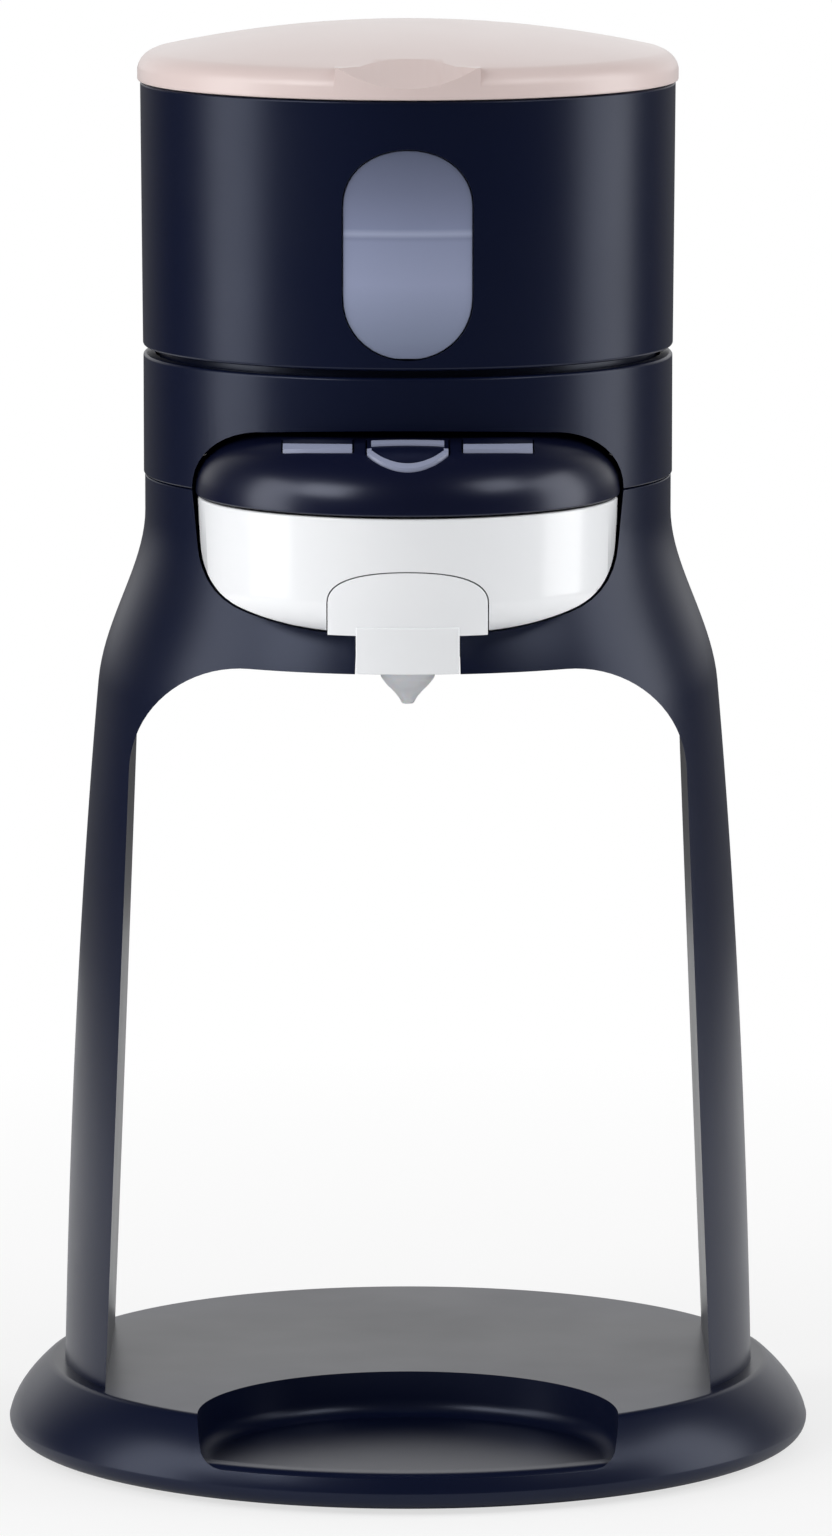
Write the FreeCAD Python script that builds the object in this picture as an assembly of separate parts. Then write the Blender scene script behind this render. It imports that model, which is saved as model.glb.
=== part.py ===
# Formula maker: a round base, a two-legged frame, a drum with a lift-off water tank,
# and a round powder drawer under a domed key console.
# Millimetres. Origin on the table under the drum's axis, +Z up, the front faces -Y.
import FreeCAD, Part
import math
import os

from FreeCAD import Vector

# Driving dimensions

# Base disc
base_radius = 100.0
base_bottom_z = 1.2
base_edge_round = 4.5
rim_swell = 1.7
deck_z = 20.0
rim_width = 10.0
base_wall = 3.0
well_radius = 51.4
well_centre_y = -73.0
well_floor_z = 9.0
well_cove = 4.0
lip_width = 6.8
lip_height = 1.2
plate_thickness = 2.4
plate_inset = 4.0
foot_radius = 7.0
foot_depth = 3.0
foot_inset = 22.0
foot_count = 4

# Two-legged frame
leg_inset = 4.0
leg_belly_radius = 82.7
leg_belly_rise = 90.0
shoulder_radius = 77.0
shoulder_drop = 11.2
throat_radius = 65.2
throat_band = 9.0
frame_head = 40.8
arch_foot_half_width = 74.8
arch_top_half_width = 67.3
arch_top_z = 202.2
arch_corner_radius = 30.0
arch_edge_round = 2.4
frame_floor = 3.0
cavity_radius = 62.2

# Drum housing and tank seat
drum_radius = 65.5
drum_wall = 3.0
drum_height = 30.2
seam_gap = 0.6
seat_thickness = 3.0
seat_recess = 1.6
socket_wall = 2.6
socket_depth = 8.0
socket_floor = 1.6
drain_offset = 4.2

# Water tank
tank_seam = 1.8
tank_height = 65.2
tank_bottom_radius = 65.6
tank_top_radius = 66.1
tank_wall = 2.4
liner_wall = 1.8
liner_gap = 0.3
liner_top_drop = 3.0
window_half_width = 15.9
window_rise = 2.4
window_height = 51.2
window_corner_radius = 13.4
window_recess = 0.5
window_clearance = 0.25
outlet_y = 30.0
outlet_radius = 7.0

# Lid
lid_radius = 66.8
lid_gap = 0.3
lid_edge_height = 3.0
lid_shoulder_radius = 62.6
lid_shoulder_rise = 7.5
lid_crown_rise = 14.3
lid_wall = 2.4
tab_half_width = 17.6
tab_rise = 7.7
tab_length = 22.8
tab_dish_radius = 45.0
tab_dish_depth = 4.9
tab_dish_tilt = 28.0
tab_front_lead = 30.0
tab_rim = 0.8
lid_plug_radius = 58.6
lid_plug_depth = 4.0
lid_plug_wall = 2.0
seal_section = 1.4
hinge_reach = 3.8
hinge_rise = 1.1
hinge_knuckle_radius = 3.4
hinge_pin_radius = 1.5
hinge_running_gap = 0.06
hinge_inner_half_width = 8.0
hinge_outer_half_width = 14.0

# Round powder drawer and the dome above it
puck_centre_y = -33.5
dome_radius = 52.0
dome_edge_rise = 29.7
dome_side_height = 1.4
dome_shoulder_radius = 34.0
dome_shoulder_rise = 16.4
dome_crown_rise = 17.7
dome_wall = 2.4
dome_back_y = -22.0
tray_thickness = 2.0
tray_tail_half_width = 44.0
bowl_radius = 51.5
bowl_top_gap = 0.6
bowl_side_radius = 50.7
bowl_side_rise = 17.8
bowl_haunch_radius = 47.4
bowl_haunch_rise = 8.8
bowl_heel_radius = 39.0
bowl_heel_rise = 3.8
bowl_belly_radius = 26.0
bowl_belly_rise = 1.0
bowl_floor_radius = 12.0
bowl_floor_rise = 10.0
bowl_wall = 2.2
puck_gap = 0.8
sieve_radius = 22.0
sieve_rise = 6.0
runner_width = 4.0
runner_height = 5.0
runner_rise = 20.8
runner_back_y = 18.0
rail_front_y = -6.0
rail_back_y = 24.0
rail_ledge = 2.4
slide_gap = 0.3

# Spout block and drip nozzle
spout_y = -52.0
head_half_width = 20.2
head_rise = 16.0
head_drop = 1.6
head_corner_radius = 9.0
head_front_y = -83.4
head_lean = 3.2
head_depth = 26.0
stem_half_width = 12.5
stem_rise = 2.8
stem_clearance = 0.2
stem_front_y = -86.2
notch_gap = 0.9
block_gap = 0.3
duct_radius = 7.4
nozzle_radius = 6.8
nozzle_drop = 10.8
nozzle_tip_radius = 1.3
nozzle_band = 3.4

# Keys on the dome
key_proud = 0.7
key_travel = 1.2
key_gap = 0.4
key_flange = 1.2
centre_key_half_width = 9.8
centre_key_front_y = -77.0
bar_key_inner_x = 13.4
bar_key_outer_x = 30.2
bar_key_front_y = -76.0
bar_key_curve_radius = 52.0
bar_key_dome_setback = 10.4
mat_thickness = 1.0
board_thickness = 1.6
board_half_width = 32.0
spray_radius = 9.0

# Works inside the drum
pump_radius = 13.0
pump_x = 24.0
pump_y = 36.0
pump_height = 38.0
heater_radius = 15.0
heater_x = -24.0
heater_height = 40.0
hose_radius = 2.6
hose_bore = 1.5
hose_rise = 8.6
hose_lead = 18.0
valve_stem_radius = 2.2
valve_lift = 3.0
control_board_width = 34.0
control_board_height = 26.0
board_setback = 20.0
chip_size = 8.0
chip_height = 6.0
gland_radius = 5.5
gland_bore_radius = 3.2
gland_rise = 16.8
screw_radius = 1.6
screw_head_radius = 3.0
screw_length = 9.0

# Derived sizes

deck_radius = base_radius - rim_width
lip_radius = base_radius - lip_width
foot_circle_radius = base_radius - foot_inset
leg_foot_radius = deck_radius - leg_inset
leg_belly_z = deck_z + leg_belly_rise
shoulder_z = arch_top_z - shoulder_drop
frame_top_z = arch_top_z + frame_head
throat_z = frame_top_z - throat_band
drum_top_z = frame_top_z + drum_height
tank_bottom_z = drum_top_z + tank_seam
tank_top_z = tank_bottom_z + tank_height
window_bottom_z = tank_bottom_z + window_rise
window_top_z = window_bottom_z + window_height
lid_bottom_z = tank_top_z + lid_gap
lid_shoulder_z = lid_bottom_z + lid_shoulder_rise
lid_crown_z = lid_bottom_z + lid_crown_rise
tab_top_z = lid_bottom_z + tab_rise
tab_back_y = tab_length - lid_radius
hinge_y = tank_top_radius + hinge_reach
hinge_z = lid_bottom_z + hinge_rise
bowl_floor_z = arch_top_z + bowl_floor_rise
bowl_belly_z = bowl_floor_z + bowl_belly_rise
bowl_heel_z = bowl_floor_z + bowl_heel_rise
bowl_haunch_z = bowl_floor_z + bowl_haunch_rise
bowl_side_z = bowl_floor_z + bowl_side_rise
dome_edge_z = bowl_floor_z + dome_edge_rise
dome_shoulder_z = dome_edge_z + dome_shoulder_rise
dome_crown_z = dome_edge_z + dome_crown_rise
runner_bottom_z = bowl_floor_z + runner_rise
head_top_z = bowl_floor_z + head_rise
head_bottom_z = bowl_floor_z - head_drop
stem_top_z = bowl_floor_z + stem_rise
stem_bottom_z = arch_top_z + stem_clearance
nozzle_bottom_z = stem_bottom_z - nozzle_drop
gland_z = arch_top_z + gland_rise
frame_floor_top_z = arch_top_z + frame_floor
dome_inner_radius = dome_radius - dome_wall
bowl_top_z = dome_edge_z - bowl_top_gap
tray_top_z = dome_edge_z + tray_thickness
plate_top_z = base_bottom_z + plate_thickness
nozzle_top_z = stem_bottom_z + nozzle_band
seat_z = drum_top_z - seat_recess
puck_centre = Vector(0, puck_centre_y, 0)
up = Vector(0, 0, 1)
back = Vector(0, 1, 0)
right = Vector(1, 0, 0)
far = 400.0


# Small building helpers

def line(start, end):
    return Part.LineSegment(start, end).toShape()


def arc(start, middle, end):
    return Part.Arc(start, middle, end).toShape()


def at(radius, z):
    """A point of a turned profile: its distance from the axis and its height."""
    return Vector(radius, 0, z)


def quarter_ellipse(centre, side, top):
    """The rounded corner between an upright side point and a level top point."""
    control = 4.0 * (math.sqrt(2.0) - 1.0) / 3.0
    curve = Part.BezierCurve()
    curve.setPoles([
        side,
        Vector(side.x, 0, side.z + (top.z - side.z) * control),
        Vector(top.x + (side.x - top.x) * control, 0, top.z),
        top,
    ])
    return curve.toShape()


def cap_arc(side, crown):
    """A round cap from side up to crown, whose centre lies on the axis."""
    rise = crown.z - side.z
    radius = (side.x ** 2 + rise ** 2) / (2 * rise)
    half = math.asin(side.x / radius) / 2
    middle = at(radius * math.sin(half), crown.z - radius * (1 - math.cos(half)))
    return arc(side, middle, crown)


def turned(edges, centre=Vector(0, 0, 0)):
    """A solid of revolution about the upright line through centre."""
    face = Part.Face(Part.Wire(edges))
    solid = face.revolve(Vector(0, 0, 0), up, 360)
    solid.translate(centre)
    return facing_out(solid)


def facing_out(solid):
    if solid.Volume < 0:
        solid.reverse()
    return solid


def turned_points(points, centre=Vector(0, 0, 0)):
    closed = points + [points[0]]
    edges = [line(closed[i], closed[i + 1]) for i in range(len(points))]
    return turned(edges, centre)


def cylinder(radius, bottom, top, x=0.0, y=0.0):
    return Part.makeCylinder(radius, top - bottom, Vector(x, y, bottom), up)


def ring(outer, inner, bottom, top, x=0.0, y=0.0):
    return cylinder(outer, bottom, top, x, y).cut(cylinder(inner, bottom - 1, top + 1, x, y))


def block(x0, x1, y0, y1, z0, z1):
    return Part.makeBox(x1 - x0, y1 - y0, z1 - z0, Vector(x0, y0, z0))


def prism_y(edges, y0, y1):
    """A closed outline in the front plane, carried from y0 back to y1."""
    face = Part.Face(Part.Wire(edges))
    solid = face.extrude(back * (y1 - y0))
    solid.translate(back * y0)
    return facing_out(solid)


def mirrored(shape):
    return shape.mirror(Vector(0, 0, 0), right)


def joined(shapes):
    solid = shapes[0].multiFuse(shapes[1:]) if len(shapes) > 1 else shapes[0]
    return solid.removeSplitter()


def fillet_where(solid, radius, chosen):
    edges = [edge for edge in solid.Edges if chosen(edge)]
    return solid.makeFillet(radius, edges) if edges else solid


def save(name, shape):
    solids = shape.Solids
    kept = solids[0] if len(solids) == 1 else Part.makeCompound(solids)
    kept.exportStep("parts/" + name + ".step")
    box = kept.BoundBox
    print(name, len(solids), "solid", "valid" if kept.isValid() else "NOT VALID",
          "z", round(box.ZMin, 2), round(box.ZMax, 2))


# Base

def base_outside():
    edge_z = base_bottom_z + base_edge_round
    inner = base_radius - base_edge_round
    turn = base_edge_round * math.sqrt(0.5)
    rim_rise = deck_z - edge_z
    rim_mid = at((base_radius + deck_radius) / 2 + rim_swell, edge_z + rim_rise / 2)
    edges = [
        line(at(0, base_bottom_z), at(inner, base_bottom_z)),
        arc(at(inner, base_bottom_z), at(inner + turn, edge_z - turn), at(base_radius, edge_z)),
        arc(at(base_radius, edge_z), rim_mid, at(deck_radius, deck_z)),
        line(at(deck_radius, deck_z), at(0, deck_z)),
        line(at(0, deck_z), at(0, base_bottom_z)),
    ]
    return turned(edges)


def well_space(gap=0.0):
    radius = well_radius + gap
    floor = well_floor_z - gap
    cove = well_cove + gap
    turn = cove * (1 - math.sqrt(0.5))
    edges = [
        line(at(0, floor), at(radius - cove, floor)),
        arc(at(radius - cove, floor), at(radius - turn, floor + turn), at(radius, floor + cove)),
        line(at(radius, floor + cove), at(radius, deck_z + 5)),
        line(at(radius, deck_z + 5), at(0, deck_z + 5)),
        line(at(0, deck_z + 5), at(0, floor)),
    ]
    return turned(edges, Vector(0, well_centre_y, 0))


def low_lip():
    top = well_floor_z + lip_height
    edge_z = base_bottom_z + base_edge_round
    outer = base_radius - base_edge_round
    crest = (lip_radius + base_radius) / 2 + 0.6
    edges = [
        line(at(lip_radius, base_bottom_z + 1), at(outer, base_bottom_z + 1)),
        line(at(outer, base_bottom_z + 1), at(base_radius, edge_z)),
        arc(at(base_radius, edge_z), at(crest + 1.6, top - 1.2), at(crest - 0.6, top)),
        line(at(crest - 0.6, top), at(lip_radius + 0.6, top)),
        line(at(lip_radius + 0.6, top), at(lip_radius, top - 0.6)),
        line(at(lip_radius, top - 0.6), at(lip_radius, base_bottom_z + 1)),
    ]
    return turned(edges)


def plate_radius():
    return base_radius - base_edge_round - plate_inset


def make_base_shell():
    outside = base_outside()
    cavity_top = deck_z - base_wall
    cavity = turned_points([
        at(0, plate_top_z), at(deck_radius - base_wall, plate_top_z),
        at(deck_radius - base_wall * 2, cavity_top), at(0, cavity_top)])
    cavity = cavity.cut(well_space(base_wall))
    for x, y in foot_places() + leg_screw_places():
        cavity = cavity.cut(cylinder(screw_head_radius + 1.6, 0, deck_z, x, y))
    plate_seat = cylinder(plate_radius() + slide_gap, 0, plate_top_z)
    shell = outside.cut(well_space()).fuse(low_lip().common(well_space()).common(outside))
    shell = shell.cut(plate_seat).cut(cavity)
    for x, y in leg_screw_places():
        shell = shell.cut(cylinder(screw_radius + 0.1, 0, deck_z + 1, x, y))
        shell = shell.cut(cylinder(screw_head_radius + 0.2, 0, plate_top_z + 1.6, x, y))
    for x, y in foot_places():
        shell = shell.cut(cylinder(screw_radius + 0.1, 0, plate_top_z + screw_length, x, y))
    return shell.removeSplitter()


def foot_places():
    turn = 2 * math.pi / foot_count
    return [(foot_circle_radius * math.cos(turn * (i + 0.5)),
             foot_circle_radius * math.sin(turn * (i + 0.5))) for i in range(foot_count)]


def leg_screw_places():
    x = (arch_foot_half_width + leg_foot_radius) / 2 - 0.3
    y = leg_foot_radius * 0.22
    return [(side * x, end * y) for side in (-1, 1) for end in (-1, 1)]


def make_base_plate():
    plate = cylinder(plate_radius(), base_bottom_z, plate_top_z)
    for x, y in foot_places():
        plate = plate.cut(cylinder(foot_radius - 1.5, base_bottom_z - 1, base_bottom_z + 1.0, x, y))
        plate = plate.cut(cylinder(screw_radius + 0.1, 0, deck_z, x, y))
    for x, y in leg_screw_places():
        plate = plate.cut(cylinder(screw_head_radius + 0.5, 0, deck_z, x, y))
    return plate


def make_base_feet():
    feet = []
    for x, y in foot_places():
        pad = cylinder(foot_radius, 0, base_bottom_z, x, y)
        stub = cylinder(foot_radius - 1.7, base_bottom_z - 0.2, base_bottom_z + 0.9, x, y)
        feet.append(pad.fuse(stub).cut(cylinder(screw_head_radius + 0.3, -1, deck_z, x, y)))
    return Part.makeCompound(feet)


def screw(x, y, bottom, length):
    head = cylinder(screw_head_radius, bottom, bottom + 1.4, x, y)
    shank = cylinder(screw_radius, bottom + 1.2, bottom + 1.4 + length, x, y)
    drive = cylinder(1.1, bottom - 1, bottom + 0.8, x, y)
    return head.fuse(shank).cut(drive)


def make_base_screws():
    places = foot_places()
    return Part.makeCompound([
        screw(x, y, base_bottom_z - 0.4, screw_length - plate_thickness) for x, y in places])


# Two-legged frame

def frame_outside(bottom, top):
    """The flared tube that both legs and the drum's skirt are cut from."""
    foot = at(leg_foot_radius, deck_z)
    belly = at(leg_belly_radius, leg_belly_z)
    shoulder = at(shoulder_radius, shoulder_z)
    throat = at(throat_radius, throat_z)
    swell = Part.BezierCurve()
    swell.setPoles([
        shoulder,
        at(shoulder_radius - 1.5, shoulder_z + (throat_z - shoulder_z) * 0.37),
        at(throat_radius, throat_z - (throat_z - shoulder_z) * 0.33),
        throat,
    ])
    edges = [
        line(at(0, deck_z), foot),
        arc(foot, belly, shoulder),
        swell.toShape(),
        line(throat, at(throat_radius, frame_top_z)),
        line(at(throat_radius, frame_top_z), at(0, frame_top_z)),
        line(at(0, frame_top_z), at(0, deck_z)),
    ]
    solid = turned(edges)
    return solid.common(cylinder(far, bottom, top))


def arch_space():
    """The bay between the legs, open at the front and the back."""
    foot_z = deck_z - 1.0
    foot = arch_foot_half_width
    top = arch_top_half_width
    lean = math.atan2(foot - top, arch_top_z - deck_z)
    radius = arch_corner_radius
    half = (math.pi / 2 - lean) / 2
    reach = radius * math.tan(half)
    corner = at(top, arch_top_z)
    side = at(corner.x + reach * math.sin(lean), corner.z - reach * math.cos(lean))
    crown = at(corner.x - reach, arch_top_z)
    centre = at(crown.x, arch_top_z - radius)
    tilt = (math.pi / 2 + lean) / 2
    middle = at(centre.x + radius * math.cos(tilt), centre.z + radius * math.sin(tilt))

    def left(point):
        return at(-point.x, point.z)

    foot_point = at(foot, foot_z)
    edges = [
        line(left(foot_point), foot_point),
        line(foot_point, side),
        arc(side, middle, crown),
        line(crown, left(crown)),
        arc(left(crown), left(middle), left(side)),
        line(left(side), left(foot_point)),
    ]
    return prism_y(edges, -far, far)


def puck_outline(gap):
    """The front outline of the bowl and the dome together, larger by gap all round."""
    dome_side = at(dome_radius + gap, dome_edge_z + dome_side_height)
    dome_top = at(dome_shoulder_radius, dome_shoulder_z + gap)
    bowl_side = at(bowl_side_radius + gap, bowl_side_z)
    haunch = at(bowl_haunch_radius + gap * 0.8, bowl_haunch_z - gap * 0.6)
    heel = at(bowl_heel_radius + gap * 0.4, bowl_heel_z - gap)
    belly = at(bowl_belly_radius, bowl_belly_z - gap)
    floor = at(bowl_floor_radius, bowl_floor_z - gap)
    crown = at(0, dome_crown_z + gap)
    dome_corner = at(dome_top.x, dome_side.z)
    right_side = [
        arc(floor, belly, heel),
        arc(heel, haunch, bowl_side),
        line(bowl_side, dome_side),
        quarter_ellipse(dome_corner, dome_side, dome_top),
    ]
    left_side = [edge.mirror(Vector(0, 0, 0), right) for edge in right_side]
    top = arc(dome_top, crown, at(-dome_top.x, dome_top.z))
    bottom = line(at(-floor.x, floor.z), floor)
    return right_side + [top] + left_side + [bottom]


def sorted_wire(edges):
    return Part.Wire(Part.__sortEdges__(edges))


def puck_opening(gap):
    face = Part.Face(sorted_wire(puck_outline(gap)))
    solid = face.extrude(back * far)
    solid.translate(back * (puck_centre_y - far))
    return solid


def stem_slot(gap):
    side = stem_half_width + gap
    back_y = spout_y + duct_radius + 3.0
    return block(-side, side, -far, back_y, arch_top_z - 5, bowl_floor_z)


def head_slot(gap):
    side = head_half_width + gap
    return block(-side, side, -far, head_front_y + head_depth + gap, head_bottom_z - gap * 0.6,
                 bowl_heel_z)


def make_leg_frame():
    frame = frame_outside(deck_z, frame_top_z).cut(arch_space())
    frame = frame.cut(cylinder(cavity_radius, frame_floor_top_z, frame_top_z + 1))
    frame = frame.cut(puck_opening(puck_gap))
    frame = frame.cut(stem_slot(notch_gap)).cut(head_slot(notch_gap))
    frame = fillet_where(frame, arch_edge_round, is_leg_edge)
    for x, y in leg_screw_places():
        frame = frame.cut(cylinder(screw_radius + 0.1, 0, deck_z + screw_length, x, y))
    gland_bore = Part.makeCylinder(gland_radius + 0.1, 40, Vector(0, cavity_radius - 5, gland_z), back)
    gland_seat = Part.makeCylinder(gland_radius + 2.8, far, Vector(0, gland_seat_y(), gland_z), back)
    return frame.cut(gland_bore).cut(gland_seat)


def is_leg_edge(edge):
    """The upright edges between a leg's round outside and its flat inner face."""
    box = edge.BoundBox
    tall = box.ZLength > 60 and box.ZMax < arch_top_z
    beside = abs(edge.CenterOfMass.x) > arch_top_half_width - 3
    return tall and beside


def make_leg_screws():
    return Part.makeCompound([
        screw(x, y, plate_top_z + 0.1, deck_z - plate_top_z + screw_length - 4)
        for x, y in leg_screw_places()])


# Drum housing and the seat that the tank stands on

def make_drum_housing():
    wall_inner = drum_radius - drum_wall
    shell = ring(drum_radius, wall_inner, frame_top_z + seam_gap / 2, drum_top_z)
    shell = fillet_where(shell, 0.8, lambda edge: edge.BoundBox.ZMin > drum_top_z - 0.1
                         and edge.BoundBox.XMax > drum_radius - 0.1)
    ledge_top = seat_z - seat_thickness
    ledge = ring(wall_inner + 0.5, wall_inner - 3, ledge_top - 2, ledge_top)
    shell = shell.fuse(ledge).cut(puck_opening(puck_gap))
    return shell.removeSplitter()


def make_tank_seat():
    radius = drum_radius - drum_wall - 0.15
    seat = cylinder(radius, seat_z - seat_thickness, seat_z)
    socket_radius = outlet_radius + socket_wall
    socket_bottom_z = seat_z - socket_depth
    socket_floor_z = socket_bottom_z + socket_floor
    seat = seat.fuse(ring(socket_radius, outlet_radius + 0.6, socket_bottom_z, seat_z, 0, outlet_y))
    seat = seat.cut(cylinder(outlet_radius + 0.6, socket_floor_z, seat_z + 1, 0, outlet_y))
    cup = cylinder(socket_radius, socket_bottom_z, socket_floor_z, 0, outlet_y)
    post = cylinder(1.6, socket_floor_z - 0.1, pin_top_z(), 0, outlet_y)
    seat = seat.fuse(cup).fuse(post)
    drain = cylinder(hose_bore, socket_bottom_z - 1, seat_z - 6, 0, outlet_y + drain_offset)
    return seat.cut(drain).removeSplitter()


def pin_top_z():
    return tank_bottom_z - 3.2


# Dome console with its keys

def dome_profile(inset, top_lift):
    side = at(dome_radius - inset, dome_edge_z + dome_side_height)
    top = at(dome_shoulder_radius, dome_shoulder_z - inset + top_lift)
    crown = at(0, dome_crown_z - inset + top_lift)
    return side, top, crown


def dome_solid(inset, top_lift, bottom):
    """The turned dome, smaller all round by inset, raised by top_lift, down to bottom."""
    side, top, crown = dome_profile(inset, top_lift)
    edges = [
        line(at(0, bottom), at(side.x, bottom)),
        line(at(side.x, bottom), side),
        quarter_ellipse(at(top.x, side.z), side, top),
        cap_arc(top, crown),
        line(crown, at(0, bottom)),
    ]
    return turned(edges, puck_centre)


def key_plans(gap):
    """The plan of each key as an upright prism that grows by gap."""
    drum_front = cylinder(drum_radius + puck_gap - gap, dome_edge_z, far)
    centre = centre_key_half_width + gap
    sag_radius = (centre ** 2 + 49.0) / 14.0 + gap
    nose_y = centre_key_front_y - gap
    nose = cylinder(sag_radius, dome_edge_z, far, 0, nose_y + sag_radius)
    centre_plan = block(-centre, centre, nose_y, -drum_radius + 4, dome_edge_z, far).common(nose)
    bar_curve = cylinder(bar_key_curve_radius + gap, dome_edge_z, far,
                         0, bar_key_front_y + bar_key_curve_radius)
    bar_plan = block(bar_key_inner_x - gap, bar_key_outer_x + gap,
                     -far, puck_centre_y, dome_edge_z, far).common(bar_curve)
    plans = {"key_centre": centre_plan, "key_right": bar_plan, "key_left": mirrored(bar_plan)}
    return {name: plan.cut(drum_front) for name, plan in plans.items()}


def key_bottom_z():
    return dome_shoulder_z - 10.5


def make_keys():
    bottom = key_bottom_z()
    raised = dome_solid(0, key_proud, bottom)
    room = dome_solid(dome_wall + 0.4, 0, bottom).common(block(-far, far, -far, far, bottom, bottom + 1.0))
    flanges = key_plans(key_flange)
    return {name: plan.common(raised).fuse(flanges[name].common(room)).removeSplitter()
            for name, plan in key_plans(0.0).items()}


def make_console_cover():
    shell = dome_solid(0, 0, dome_edge_z).cut(dome_solid(dome_wall, 0, dome_edge_z - 1))
    shell = shell.common(block(-far, far, -far, dome_back_y, 0, far))
    for plan in key_plans(key_gap).values():
        shell = shell.cut(plan)
    return shell


def make_key_mat():
    top = key_bottom_z() - key_travel - 0.1
    base = top - mat_thickness
    sheet = board_plan(base, top - 0.4)
    domes = [cylinder(2.4, top - 0.5, top, x, y) for x, y in key_dome_places()]
    return joined([sheet] + domes)


def board_plan(bottom, top):
    """The outline that the key board and its mat share, clear of the dome and the spray head."""
    plan = block(-board_half_width, board_half_width, -far,
                 puck_centre_y - spray_radius - 3.0, bottom, top)
    return plan.common(cylinder(dome_inner_radius - 3.0, 0, far, 0, puck_centre_y))


def key_dome_places():
    bar_x = (bar_key_inner_x + bar_key_outer_x) / 2
    bar_y = bar_key_front_y + bar_key_dome_setback
    return [(0, centre_key_front_y + 6.5), (bar_x, bar_y), (-bar_x, bar_y)]


def make_key_board():
    top = key_bottom_z() - key_travel - 0.1 - mat_thickness
    board = board_plan(top - board_thickness, top)
    post_xy = [(side * x, y) for side in (-1, 1) for x, y in ((board_half_width - 4, -50.0), (10.0, -74.0))]
    posts = [cylinder(2.0, tray_top_z, top - board_thickness, x, y) for x, y in post_xy]
    return board, posts


def make_console_tray():
    plate = cylinder(dome_inner_radius - 0.3, dome_edge_z, tray_top_z, 0, puck_centre_y)
    plate = plate.common(block(-far, far, -far, dome_back_y, 0, far))
    tail = block(-tray_tail_half_width, tray_tail_half_width, dome_back_y - 0.5, rail_back_y - 4, dome_edge_z, tray_top_z)
    ear = block(-rail_inner_x() - 5, rail_inner_x() + 5, rail_front_y + 1, rail_front_y + 17,
                dome_edge_z, tray_top_z)
    plate = plate.fuse(tail).fuse(ear).common(cylinder(cavity_radius - 0.4, 0, far).fuse(
        block(-far, far, -far, puck_centre_y, 0, far)))
    bore = cylinder(spray_radius + 0.2, 0, far, 0, puck_centre_y)
    return joined([plate.cut(bore)] + make_key_board()[1])


def make_spray_head():
    body = cylinder(spray_radius, dome_edge_z - 0.4, tray_top_z + 2.0, 0, puck_centre_y)
    flange = ring(spray_radius + 2.5, spray_radius - 1, tray_top_z, tray_top_z + 1.6, 0, puck_centre_y)
    spigot = cylinder(hose_bore - 0.05, tray_top_z + 1, tray_top_z + 5.0, 0, puck_centre_y)
    head = joined([body, flange, spigot])
    for i in range(6):
        turn = math.pi / 3 * i
        head = head.cut(cylinder(0.8, 0, tray_top_z + 1, 5.5 * math.cos(turn),
                                 puck_centre_y + 5.5 * math.sin(turn)))
    return head


# Drawer

def rail_inner_x():
    return bowl_radius


def bowl_profile(inset):
    lift = inset
    top = at(bowl_radius - inset, bowl_top_z)
    side = at(bowl_side_radius - inset, bowl_side_z)
    haunch = at(bowl_haunch_radius - inset * 0.8, bowl_haunch_z + inset * 0.6)
    heel = at(bowl_heel_radius - inset * 0.4, bowl_heel_z + lift)
    belly = at(bowl_belly_radius, bowl_belly_z + lift)
    floor = at(bowl_floor_radius, bowl_floor_z + lift)
    above = bowl_top_z + (1 if inset else 0)
    return [
        line(at(0, floor.z), floor),
        arc(floor, belly, heel),
        arc(heel, haunch, side),
        line(side, top),
    ] + ([line(top, at(top.x, above))] if inset else []) + [
        line(at(top.x, above), at(0, above)),
        line(at(0, above), at(0, floor.z)),
    ]


def make_drawer_bowl():
    outer = turned(bowl_profile(0), puck_centre)
    inner = turned(bowl_profile(bowl_wall), puck_centre)
    bowl = outer.cut(inner)
    runner = block(bowl_radius - runner_width, bowl_radius, puck_centre_y + 4, runner_back_y,
                   runner_bottom_z, runner_bottom_z + runner_height).cut(inner)
    bowl = bowl.fuse(runner).fuse(mirrored(runner))
    pocket = head_solid(block_gap).fuse(stem_solid(block_gap))
    mouth = cylinder(duct_radius - 2.0, 0, bowl_floor_z + 10, 0, spout_y)
    return bowl.cut(pocket).cut(mouth).removeSplitter()


def head_outline(gap):
    half = head_half_width + gap
    top = head_top_z + gap
    radius = head_corner_radius + gap
    bottom = head_bottom_z - gap
    knee = top - radius - 1.4
    edges = []
    for side in (1, -1):
        corner = [at(side * half, knee), at(side * (half - radius * 0.3), top - radius * 0.36 - 0.6),
                  at(side * (half - radius), top - 0.9)]
        edges.append(line(at(side * half, bottom), corner[0]))
        edges.append(arc(corner[0], corner[1], corner[2]))
    edges.append(arc(at(half - radius, top - 0.9), at(0, top), at(radius - half, top - 0.9)))
    edges.append(line(at(-half, bottom), at(half, bottom)))
    return edges


def head_solid(gap):
    face = Part.Face(sorted_wire(head_outline(gap)))
    solid = face.extrude(back * (head_depth + 2 * gap))
    solid.translate(back * (head_front_y - gap))
    y = head_front_y - gap
    lean = Part.Face(Part.makePolygon([
        Vector(-far, y, stem_top_z), Vector(-far, y + head_lean, head_top_z + 2),
        Vector(-far, y - 5, head_top_z + 2), Vector(-far, y - 5, stem_top_z),
        Vector(-far, y, stem_top_z)])).extrude(right * (far * 2))
    return solid.cut(lean) if gap == 0 else solid


def stem_solid(gap):
    side = stem_half_width + gap
    return block(-side, side, stem_front_y - gap, spout_y + duct_radius + 1.6 + gap,
                 stem_bottom_z - gap, stem_top_z + gap)


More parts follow.
